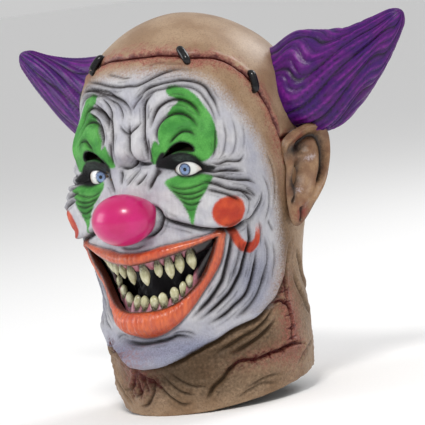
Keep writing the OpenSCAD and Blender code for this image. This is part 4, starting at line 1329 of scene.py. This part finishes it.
# Rings of the left ear: its face, its edge rolling under, and its root on the head
ear_rings = list(on_ear(ear_u, ear_v, ear_rise))
for grow_u, grow_v, low in ((1.0, 1.0, 0.2), (0.985, 0.985, -1.6), (0.94, 0.94, -3.4), (0.82, 0.86, -5.0)):
    ear_rings.append(on_ear(ear_u[-1] * grow_u, ear_v[-1] * grow_v, np.full(EAR_SIDES, low)))
for share in (1.0, 0.6, 0.25):
    root_angle = EAR_ANGLE + share * EAR_ROOT_HALF_TURN * np.cos(turn)
    ear_rings.append(on_head(root_angle, EAR_MIDDLE[2] + share * EAR_ROOT_HALF_HIGH * np.sin(turn)))
for side_name, way in (("left", 1), ("right", -1)):
    ear_shape = np.array(ear_rings) * (way, 1, 1)
    if way < 0:
        ear_shape = ear_shape[:, ::-1]
    ear_points, ear_faces = closed_rings(ear_shape)
    ear_faces = [tuple(reversed(one)) for one in ear_faces]
    behind_face = len(ear_shape) - EAR_RINGS
    ear_layers = {}
    for layer, values in (("hollow", ear_painted_shade), ("worn", ear_pale), ("sore", ear_red)):
        full = np.concatenate([values, np.tile(values[-1] * 0.3, (behind_face, 1))])
        full = full[:, ::-1] if way < 0 else full
        ear_layers[layer] = np.append(full.ravel(), [0, 0])
    ear_piece = make_mesh("ear_" + side_name + "_cast", ear_points, ear_faces, [ear_finish], ear_layers)
    fit_piece(ear_piece, "ear_latex", "ear_" + side_name)

# ---- Hair tufts --------------------------------------------------------------------------------
# Two horn-like tufts of sculpted hair, hollow castings glued on behind the seam. Their combed
# locks run from the root to the curled tip and are purple, with painted magenta highlights on
# the strands and painted shade between the locks.
TUFT_ANGLE = 115.0
TUFT_Z = 247.0
TUFT_BEND = np.array([144.0, 52.0, 252.0])
TUFT_TIP_Y = 50.0
TUFT_SIDES = 168
TUFT_RINGS = 110
TUFT_ROUNDS = 0.93
TUFT_ROOT_HALF_TURN = 21.0
TUFT_ROOT_HALF_HIGH = 37.0
TUFT_HALF_HIGH = 52.0
TUFT_HALF_DEEP = 24.5
TUFT_TIP_HALF = 6.5
LOCKS = 10
STRANDS_TO_A_LOCK = 1.5
HAIRS_TO_A_LOCK = 4
tuft_finish, tree, shader = new_finish("combed_purple_latex", roughness=0.36, specular=0.3, coat=0.06,
                                       coat_roughness=0.25)
patches, speckle, _ = mottled(tree, 60.0, 600.0)
purple = tint(tree, patches, (0.042, 0.002, 0.125), (0.095, 0.002, 0.15))
purple = thin_tint(tree, speckle, 0.4, purple, (0.022, 0.001, 0.075))
# Painted magenta highlights on the strands and painted shade between the locks
colour = lay(tree, purple, (0.19, 0.012, 0.25), "strand_highlight", 0.7, 300.0)
colour = lay(tree, colour, (0.008, 0.002, 0.02), "groove_shade", 0.4, 400.0)
feed(tree, shader.inputs["Base Color"], colour)
add_relief(tree, shader, 0.4, 0.0006, 700.0, 420.0)
root = on_head(TUFT_ANGLE, TUFT_Z)
turn = np.linspace(0, 2 * math.pi, TUFT_SIDES, endpoint=False)
root_ring = on_head(
    TUFT_ANGLE + TUFT_ROOT_HALF_TURN * np.cos(turn), TUFT_Z + TUFT_ROOT_HALF_HIGH * np.sin(turn))
sunk_ring = on_head(
    TUFT_ANGLE + (TUFT_ROOT_HALF_TURN - 1) * np.cos(turn),
    TUFT_Z + (TUFT_ROOT_HALF_HIGH - 1.5) * np.sin(turn)) * (0.97, 0.97, 1)


def spine(t, tip):
    """A point on the bent line from a tuft's root to its tip."""
    return (1 - t) ** 2 * root + 2 * t * (1 - t) * TUFT_BEND + t ** 2 * tip


for side_name, way, (tip_x, tip_z), seed in (("left", 1, (204, 302), 11), ("right", -1, (202, 305), 23)):
    tip = np.array([tip_x, TUFT_TIP_Y, tip_z])
    draw = np.random.default_rng(seed)
    phase = draw.uniform(0, 6.28, 6)
    rings = [sunk_ring]
    groove_shade_rows = [np.zeros(TUFT_SIDES)]
    strand_highlight_rows = [np.zeros(TUFT_SIDES)]
    for t in 1 - (1 - np.linspace(0, 1, TUFT_RINGS)) ** 1.25:
        centre = spine(t, tip)
        run = spine(t + 0.02, tip) - spine(t - 0.02, tip)
        high = unit(np.cross(run, [0, 1, 0]))
        closing = math.sqrt(max(0.0, 1 - max(0.0, (t - TUFT_ROUNDS) / (1 - TUFT_ROUNDS)) ** 2))
        half_high = (TUFT_HALF_HIGH * (1 - t) + TUFT_TIP_HALF) * closing
        half_deep = (TUFT_HALF_DEEP * (1 - t) ** 0.9 + TUFT_TIP_HALF) * closing
        free = smooth_step(t, 0, 0.35)
        ring = centre + half_high * np.sin(turn)[:, None] * high
        ring = ring + half_deep * np.cos(turn)[:, None] * [0, 1, 0]
        ring = (1 - free) * (root_ring + centre - root) + free * ring
        flow = turn + 0.5 * math.sin(2.6 * t + phase[0]) + 0.22 * np.sin(2 * turn + phase[1] + 6 * t)
        flow = flow + 0.07 * np.sin(5 * turn + 11 * t + phase[5])
        lock = np.abs(np.sin(LOCKS * flow / 2 + 0.7 * math.sin(5 * t + phase[2])))
        strand = np.abs(np.sin(LOCKS * STRANDS_TO_A_LOCK * flow + 1.6 * np.sin(3 * t + turn + phase[3])))
        hair = np.abs(np.sin(LOCKS * HAIRS_TO_A_LOCK * flow + phase[4] + 2 * np.sin(2 * turn + 4 * t)))
        body = min(1.0, (half_deep + half_high) / 34)
        grow_in = 0.35 + 0.65 * smooth_step(t, 0.0, 0.12)
        lift_out = 3.4 * (lock ** 0.55 - 0.75) + 1.7 * (strand ** 0.6 - 0.7) + 0.6 * (hair - 0.6)
        lift_out = lift_out * body * grow_in
        outward = unit(ring - ring.mean(0))
        rings.append(ring + outward * lift_out[:, None])
        # Painted shade between the locks, and painted highlights on the tops of the strands
        shade_between_locks = np.exp(-(lock / 0.16) ** 2) + 0.6 * np.exp(-(strand / 0.16) ** 2)
        groove_shade_rows.append(np.clip(shade_between_locks, 0, 1))
        strand_highlight_rows.append(0.6 * smooth_step(strand, 0.80, 1.0) * smooth_step(lock, 0.55, 0.95))
    order = slice(None, None, -way)
    tuft_points, tuft_faces = closed_rings((np.array(rings) * (way, 1, 1))[:, order])
    tuft_layers = {}
    for layer, rows in (("groove_shade", groove_shade_rows), ("strand_highlight", strand_highlight_rows)):
        tuft_layers[layer] = np.append(np.array(rows)[:, order].ravel(), [0, 0])
    tuft_name = "hair_tuft_" + side_name
    tuft_piece = make_mesh(tuft_name + "_cast", tuft_points, tuft_faces, [tuft_finish], tuft_layers)
    fit_piece(tuft_piece, "tuft_latex", tuft_name)

# ---- Nose ball -----------------------------------------------------------------------------------
# A hollow ball of thin latex, glued over the bridge of the nose and painted a glossy magenta.
NOSE_MIDDLE = np.array([0.0, -108.0, 160.0])
NOSE_HALF_WIDE = 27.6
NOSE_HALF_HIGH = 22.0
NOSE_DEEP = 24.0
NOSE_ROOT = 0.84
NOSE_SIDES = 96
nose_turn = np.linspace(0, 2 * math.pi, NOSE_SIDES, endpoint=False)
nose_rings = []
for t in np.radians(np.linspace(2, 90, 34)):
    wide = np.sin(t) * NOSE_HALF_WIDE * np.cos(nose_turn)
    high = np.sin(t) * NOSE_HALF_HIGH * np.sin(nose_turn)
    ahead = np.full(NOSE_SIDES, -NOSE_DEEP * np.cos(t))
    nose_rings.append(NOSE_MIDDLE + np.stack([wide, ahead, high], -1))
glue_x = NOSE_HALF_WIDE * NOSE_ROOT * np.cos(nose_turn)
glue_z = NOSE_MIDDLE[2] + NOSE_HALF_HIGH * NOSE_ROOT * np.sin(nose_turn)
glued_edge = on_head(angle_at(glue_x, glue_z), glue_z)
widest = nose_rings[-1]
for share in (0.25, 0.5, 0.75, 1.0, 1.15):
    toward = np.array([share ** 2, share, share ** 2])
    nose_rings.append(widest * (1 - toward) + glued_edge * toward)
nose_points, nose_faces = closed_rings(nose_rings)
nose_finish, tree, shader = new_finish("glossy_magenta_latex", roughness=0.3, specular=0.4, coat=0.35,
                                       coat_roughness=0.14)
patches, speckle, _ = mottled(tree, 45.0, 900.0)
colour = tint(tree, patches, (0.52, 0.004, 0.12), (0.60, 0.008, 0.17))
colour = thin_tint(tree, speckle, 0.15, colour, (0.40, 0.008, 0.07))
feed(tree, shader.inputs["Base Color"], colour)
add_relief(tree, shader, 0.08, 0.0003)
fit_piece(make_mesh("nose_ball_cast", nose_points, nose_faces, [nose_finish]), "nose_latex", "nose_ball")

# ---- Eyes ----------------------------------------------------------------------------------------
# Acrylic eyes sit in latex cups behind the lids: a white ball with a flat in front, a printed
# iris disc glued on the flat, and a clear dome over the disc.
EYE_RADIUS = 15.5
IRIS_RADIUS = 5.2
IRIS_THICK = 0.8
DOME_RADIUS = 8.2
GAZE = math.radians(10)
eye_ahead = np.array([math.sin(GAZE), -math.cos(GAZE), 0])
eye_aside = np.array([math.cos(GAZE), math.sin(GAZE), 0])
eye_up = np.array([0, 0, 1.0])
flat_at = math.sqrt(EYE_RADIUS ** 2 - IRIS_RADIUS ** 2)
eye_turn = np.linspace(0, 2 * math.pi, 80, endpoint=False)
eye_circle = np.cos(eye_turn)[:, None] * eye_aside + np.sin(eye_turn)[:, None] * eye_up


def turned(profile, centre):
    """Rings of a body turned about the line of sight, from (radius, distance ahead) pairs."""
    rings = [centre + r * eye_circle + d * eye_ahead for r, d in profile]
    points, faces = closed_rings(rings)
    return points, [tuple(reversed(one)) for one in faces]


white_finish, tree, shader = new_finish("acrylic_eye_white", roughness=0.12, specular=0.6, coat=0.7,
                                        coat_roughness=0.04)
veins = noise(tree, put(tree, "ShaderNodeTexCoord").outputs["Object"], 190.0, 3.0, 1.5)
thread = reckon(tree, "ABSOLUTE", reckon(tree, "SUBTRACT", veins, 0.5))
thread = between(tree, thread, 0.0, 0.02, 1.0, 0.0)
away_from_iris = painted_layer(tree, "rim")
colour = tint(tree, away_from_iris, (0.80, 0.80, 0.78), (0.78, 0.60, 0.50))
thread = reckon(tree, "MULTIPLY", thread, away_from_iris)
colour = thin_tint(tree, thread, 0.5, colour, (0.5, 0.08, 0.05))
feed(tree, shader.inputs["Base Color"], colour)

iris_finish, tree, shader = new_finish("printed_blue_iris", roughness=0.3, specular=0.4)
around = put(tree, "ShaderNodeCombineXYZ")
feed(tree, around.inputs[0], painted_layer(tree, "ray_x"))
feed(tree, around.inputs[1], painted_layer(tree, "ray_y"))
rays = noise(tree, around.outputs[0], 9.0, 3.0)
radius = painted_layer(tree, "radius")
colour = tint(tree, between(tree, rays, 0.35, 0.65), (0.16, 0.27, 0.55), (0.45, 0.60, 0.85))
colour = tint(tree, between(tree, radius, 0.70, 0.97), colour, (0.055, 0.06, 0.16))
colour = tint(tree, between(tree, radius, 0.30, 0.50, 0.5, 0.0), colour, (0.25, 0.38, 0.75))
colour = tint(tree, between(tree, radius, 0.30, 0.36, 1.0, 0.0), colour, (0.003, 0.003, 0.006))
feed(tree, shader.inputs["Base Color"], colour)

dome_finish, tree, shader = new_finish("clear_acrylic_dome", roughness=0.02, specular=0.5)
shader.inputs["Transmission Weight"].default_value = 1.0
shader.inputs["IOR"].default_value = 1.2
patches, _, _ = mottled(tree, 100.0, 900.0)
feed(tree, shader.inputs["Base Color"], tint(tree, patches, (0.98, 0.99, 1.0), (1, 1, 1)))

ball_angles = np.linspace(0.03, math.pi - math.asin(IRIS_RADIUS / EYE_RADIUS), 60)
ball_profile = [(EYE_RADIUS * math.sin(t), -EYE_RADIUS * math.cos(t)) for t in ball_angles]
ball_profile += [(IRIS_RADIUS * 0.97, flat_at), (IRIS_RADIUS * 0.5, flat_at), (0.3, flat_at)]
disc_profile = [(0.3, flat_at + 0.02), (IRIS_RADIUS * 0.98, flat_at + 0.02), (IRIS_RADIUS, flat_at + 0.15)]
disc_profile += [(IRIS_RADIUS, flat_at + IRIS_THICK - 0.15)]
disc_profile += [
    (IRIS_RADIUS * r, flat_at + IRIS_THICK - 0.02 * (1 - r)) for r in np.linspace(0.99, 0.03, 30)]
dome_start = flat_at + IRIS_THICK + 0.03
dome_middle = dome_start - math.sqrt(DOME_RADIUS ** 2 - IRIS_RADIUS ** 2)
dome_angles = np.linspace(math.asin(IRIS_RADIUS / DOME_RADIUS), 0.03, 24)
dome_profile = [(0.3, dome_start), (IRIS_RADIUS * 0.98, dome_start)]
dome_profile += [(DOME_RADIUS * math.sin(t), dome_middle + DOME_RADIUS * math.cos(t)) for t in dome_angles]
for side_name, way in (("left", 1), ("right", -1)):
    centre = EYE_CENTRE * (way, 1, 1)
    points, faces = turned(ball_profile, centre)
    out_from_iris = np.clip(np.linalg.norm(np.cross(points - centre, eye_ahead), axis=1) / EYE_RADIUS, 0, 1)
    ball = make_mesh("eyeball_" + side_name + "_turned", points, faces, [white_finish],
                     {"rim": smooth_step(out_from_iris, 0.55, 0.95)})
    fit_piece(ball, "eye_white", "eyeball_" + side_name)
    points, faces = turned(disc_profile, centre)
    aside = (points - centre) @ eye_aside
    upward = (points - centre) @ eye_up
    from_middle = np.hypot(aside, upward)
    disc = make_mesh("iris_" + side_name + "_disc", points, faces, [iris_finish], {
        "radius": from_middle / IRIS_RADIUS,
        "ray_x": aside / np.maximum(from_middle, 0.4),
        "ray_y": upward / np.maximum(from_middle, 0.4)})
    fit_piece(disc, "iris", "iris_" + side_name)
    points, faces = turned(dome_profile, centre)
    fit_piece(make_mesh("cornea_" + side_name + "_dome", points, faces, [dome_finish]), "cornea",
              "cornea_" + side_name)

# ---- Mouth ---------------------------------------------------------------------------------------
# A black pocket of latex is glued behind the lips, glossy as if wet, with a folded back and a
# low tongue. It closes the grin, so that the wearer's chin doesn't show.
LINING_ANGLE = 58.0
LINING_LOW = 40.0
LINING_TOP = 162.0
LINING_DEEP = 17.0
grid_u, grid_v = np.meshgrid(np.linspace(-1, 1, 150), np.linspace(-1, 1, 110))
pocket = np.maximum(0, (1 - grid_u ** 4) * (1 - grid_v ** 4)).ravel() ** 0.8
lining = Skin(grid_u * LINING_ANGLE, LINING_LOW + (grid_v + 1) / 2 * (LINING_TOP - LINING_LOW))
folds = 1.6 * ripple(lining.spot * (1, 1, 1.6), 16, 31) + 0.8 * ripple(lining.spot, 7, 32)
tongue = 7.0 * np.exp(-(lining.angle / 17) ** 2 - ((lining.height - 90) / 11) ** 2)
sunk = (WALL + 0.2 + LINING_DEEP * pocket) - pocket * (folds + tongue)
lining_front = lining.spot - lining.out * sunk[:, None]
lining_back = lining_front - lining.out * 2.0
rows_v, cols_u = grid_u.shape
sheet_index = np.arange(rows_v * cols_u).reshape(rows_v, cols_u)
corners = [sheet_index[:-1, :-1], sheet_index[:-1, 1:], sheet_index[1:, 1:], sheet_index[1:, :-1]]
sheet = np.stack(corners, -1).reshape(-1, 4)
behind = rows_v * cols_u
border = np.concatenate([
    sheet_index[0], sheet_index[1:, -1], sheet_index[-1, -2::-1], sheet_index[-2:0:-1, 0]])
after = np.roll(border, -1)
lining_faces = sheet.tolist() + (sheet[:, ::-1] + behind).tolist()
lining_faces += np.stack([border, border + behind, after + behind, after], 1).tolist()
lining_finish, tree, shader = new_finish("wet_black_latex", roughness=0.4, specular=0.12, coat=0.03)
patches, _, _ = mottled(tree, 70.0, 600.0)
black = tint(tree, patches, (0.002, 0.002, 0.003), (0.007, 0.005, 0.007))
feed(tree, shader.inputs["Base Color"], black)
feed(tree, shader.inputs["Roughness"], between(tree, patches, 0.0, 1.0, 0.2, 0.6))
add_relief(tree, shader, 0.5, 0.0008, 300.0, 160.0)
lining_points = np.vstack([lining_front, lining_back])
lining_piece = make_mesh("mouth_lining_cast", lining_points, lining_faces, [lining_finish])
fit_piece(lining_piece, "mouth_latex", "mouth_lining")

# ---- Gums and teeth --------------------------------------------------------------------------------
# The gums are lumpy pink bars glued behind the lips. Each tooth is cast by itself in cream resin
# and pressed into a socket: leaf-shaped fangs above, and rounded pegs like pebbles below.
GUM_INSET = 7.0
GUM_DEEP = 6.0
GUM_HIGH = 9.0
GUM_ANGLE = 41.0
GUM_SHOWS = 3.0
MOUTH_REACH = 93.0  # from the head's middle to the skin at the mouth
# Each tooth: angle from the front, length, radius
UPPER_TEETH = ((-35, 9, 3.2), (-30, 11, 3.4), (-25, 12, 3.6), (-20, 12.5, 3.8), (-14, 13, 4.2),
               (-7, 17, 4.4), (2, 17.5, 4.8), (11, 13, 4), (17, 17, 4.4), (23, 15.5, 4.4), (29, 16, 4.6))
LOWER_TEETH = ((-29, 9, 4), (-23, 10, 4.2), (-16, 10.5, 4.4), (-9, 11, 4.4), (-3, 11, 4.4), (4, 10.5, 4.6),
               (10, 11.5, 4.6), (17, 11.5, 4.4), (22, 10.5, 3.6), (27, 9, 3.8))


def row_height(a, edge, shows):
    """Height of a row's gum line, which shows past the edge of the mouth."""
    aside = np.minimum(MOUTH_HALF, np.abs(MOUTH_REACH * np.sin(np.radians(a))))
    return mouth_edge(aside, *edge) + shows


def inset_spot(a, z, inset):
    """Points level with the skin's, this far in from it."""
    _, _, out = directions(np.asarray(a, float), np.asarray(z, float))
    return on_head(a, z) - unit(out * (1, 1, 0)) * np.asarray(inset)[..., None]


def fang_girth(s):
    """A leaf-shaped fang's girth at a share of the way to its tip."""
    if s < FANG_WIDEST:
        return 0.69 + 0.69 * s - 0.06 * s * s
    return 0.97 * max(0.0, 1 - ((s - FANG_WIDEST) / (1 - FANG_WIDEST)) ** 1.9) ** 0.8


def peg_girth(s):
    """A rounded peg's girth at a share of the way to its tip."""
    if s < PEG_WIDEST:
        return 0.74 + 0.42 * s
    return 0.91 * max(0.0, 1 - ((s - PEG_WIDEST) / (1 - PEG_WIDEST)) ** 2.4) ** 0.6


gum_finish, tree, shader = new_finish("wet_pink_gum", roughness=0.3, specular=0.5, coat=0.35)
patches, _, _ = mottled(tree, 120.0, 900.0)
colour = tint(tree, patches, (0.42, 0.12, 0.16), (0.60, 0.27, 0.33))
# Painted shade on the gums round each tooth and towards the mouth's corners
colour = lay(tree, colour, (0.012, 0.006, 0.008), "socket", 0.4, 700.0)
feed(tree, shader.inputs["Base Color"], colour)
add_relief(tree, shader, 0.4, 0.0005)
tooth_finish, tree, shader = new_finish("stained_cream_tooth", roughness=0.24, specular=0.5, coat=0.4)
patches, _, streaks = mottled(tree, 160.0, 900.0)
colour = tint(tree, patches, (0.52, 0.50, 0.28), (0.70, 0.68, 0.47))
colour = thin_tint(tree, streaks, 0.35, colour, (0.30, 0.27, 0.12))
# Painted shade at each tooth's root and down its sides
colour = lay(tree, colour, (0.05, 0.035, 0.012), "root_and_side_shade", 0.6, 600.0)
feed(tree, shader.inputs["Base Color"], colour)
add_relief(tree, shader, 0.25, 0.0004)
GUM_STEPS = 150
GUM_SIDES = 20
TOOTH_SIDES = 28
TOOTH_RINGS = 30
TOOTH_ROOT = 0.18
FANG_WIDEST = 0.42
PEG_WIDEST = 0.4
tooth_turn = np.linspace(0, 2 * math.pi, TOOTH_SIDES, endpoint=False)
GUM_SQUARE = 0.75
gum_a = np.linspace(-GUM_ANGLE, GUM_ANGLE, GUM_STEPS)
gum_turn = np.linspace(0, 2 * math.pi, GUM_SIDES, endpoint=False)
side_in = np.sign(np.cos(gum_turn)) * np.abs(np.cos(gum_turn)) ** GUM_SQUARE
side_up = np.sign(np.sin(gum_turn)) * np.abs(np.sin(gum_turn)) ** GUM_SQUARE
for row_name, edge, low, teeth, down in (
    ("upper", UPPER_EDGE, 0.0, UPPER_TEETH, 1),
    ("lower", LOWER_EDGE, -GUM_HIGH, LOWER_TEETH, -1),
):
    socket_gap = np.min([np.abs(gum_a - a) * DEGREE - r for a, _, r in teeth], axis=0)
    wedge = smooth_step(socket_gap, -2.5, 1.2)
    gum_rings = []
    gum_shade_rows = []
    for k, a in enumerate(gum_a):
        middle_z = row_height(a, edge, -down * GUM_SHOWS) + low + GUM_HIGH / 2
        inset = GUM_INSET + GUM_DEEP / 2 - side_in * (GUM_DEEP / 2 + 0.5 * wedge[k])
        height = middle_z + side_up * GUM_HIGH / 2
        toothward = np.maximum(0, -down * side_up)
        height = height - down * toothward * (5.4 * wedge[k] - 0.4)
        gum_rings.append(inset_spot(np.full(GUM_SIDES, a), height, inset))
        # Painted shade towards the mouth's corners and where the teeth go in
        corner_shade = smooth_step(abs(a), 29, 33)
        gum_shade_rows.append(np.clip((1 - wedge[k]) * toothward ** 0.5 + corner_shade, 0, 1))
    gum_rings = np.array(gum_rings)
    gum_rings += 0.25 * ripple(gum_rings.reshape(-1, 3), 5, 41).reshape(gum_rings.shape[:2])[..., None]
    points, faces = closed_rings(gum_rings)
    gum_layers = {"socket": np.append(np.array(gum_shade_rows).ravel(), [0, 0])}
    gum = make_mesh(row_name + "_gum_cast", points, faces, [gum_finish], gum_layers)
    fit_piece(gum, "gum_latex", row_name + "_gum")
    crowns = []
    tooth_shades = []
    for number, (a, length, radius) in enumerate(teeth):
        draw = np.random.default_rng(100 + number + (50 if down < 0 else 0))
        base_z = row_height(a, edge, -down * GUM_SHOWS)
        _, _, out = directions(a, base_z)
        foot = inset_spot(a, base_z, GUM_INSET + GUM_DEEP / 2 - 1.2)
        outward = unit(out * (1, 1, 0))
        sideways = unit(np.cross([0, 0, 1.0], outward))
        lean = draw.uniform(-0.10, 0.10)
        bend = draw.uniform(0.02, 0.10)
        rings = []
        tooth_shade_rows = []
        for t in np.linspace(-TOOTH_ROOT, 1, TOOTH_RINGS):
            s = max(t, 0.0)
            girth = max(fang_girth(s) if down > 0 else peg_girth(s), 0.04)
            lump = 1 + 0.05 * np.sin(3 * tooth_turn + number) + 0.04 * np.sin(5 * tooth_turn + 9 * t)
            ring = foot + sideways * (lean * length * s) - outward * (bend * length * s * s)
            ring = ring - np.array([0, 0, down * length * t])
            ring = ring + radius * girth * (
                (np.cos(tooth_turn) * lump)[:, None] * sideways
                + 0.78 * (np.sin(tooth_turn) * lump)[:, None] * outward)
            rings.append(ring)
            # Painted shade down each tooth's sides and at its root
            side_shade = 0.25 * np.abs(np.cos(tooth_turn)) ** 6
            tooth_shade_rows.append(np.clip(np.clip(1 - s / 0.34, 0, 1) * 0.85 + side_shade, 0, 1))
        part_points, part_faces = closed_rings(rings)
        if down < 0:
            part_faces = [tuple(reversed(one)) for one in part_faces]
        crowns.append((part_points, part_faces))
        tooth_shades.append(np.append(np.array(tooth_shade_rows).ravel(), [0, 0]))
    points, faces = gather(crowns)
    tooth_layers = {"root_and_side_shade": np.concatenate(tooth_shades)}
    row = make_mesh(row_name + "_teeth_cast", points, faces, [tooth_finish], tooth_layers)
    fit_piece(row, "tooth", row_name + "_teeth")

# ---- Inside ----------------------------------------------------------------------------------------
# Latex cups hold the eyeballs against the lids, and plugs of soft foam fill the tufts at their
# roots. Both are hidden in wear and keep their plain cast shapes.
foam_finish, tree, shader = new_finish("open_cell_foam", roughness=0.9, specular=0.2)
_, speckle, _ = mottled(tree, 120.0, 1200.0)
yellow = tint(tree, speckle, (0.50, 0.43, 0.22), (0.70, 0.63, 0.38))
feed(tree, shader.inputs["Base Color"], yellow)
add_relief(tree, shader, 0.9, 0.001, 500.0, 900.0)
for piece_name, finish in (("eye_cup_", inner_finish), ("tuft_foam_", foam_finish)):
    for side_name in ("left", "right"):
        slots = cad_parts[piece_name + side_name].data.materials
        slots.clear()
        slots.append(finish)
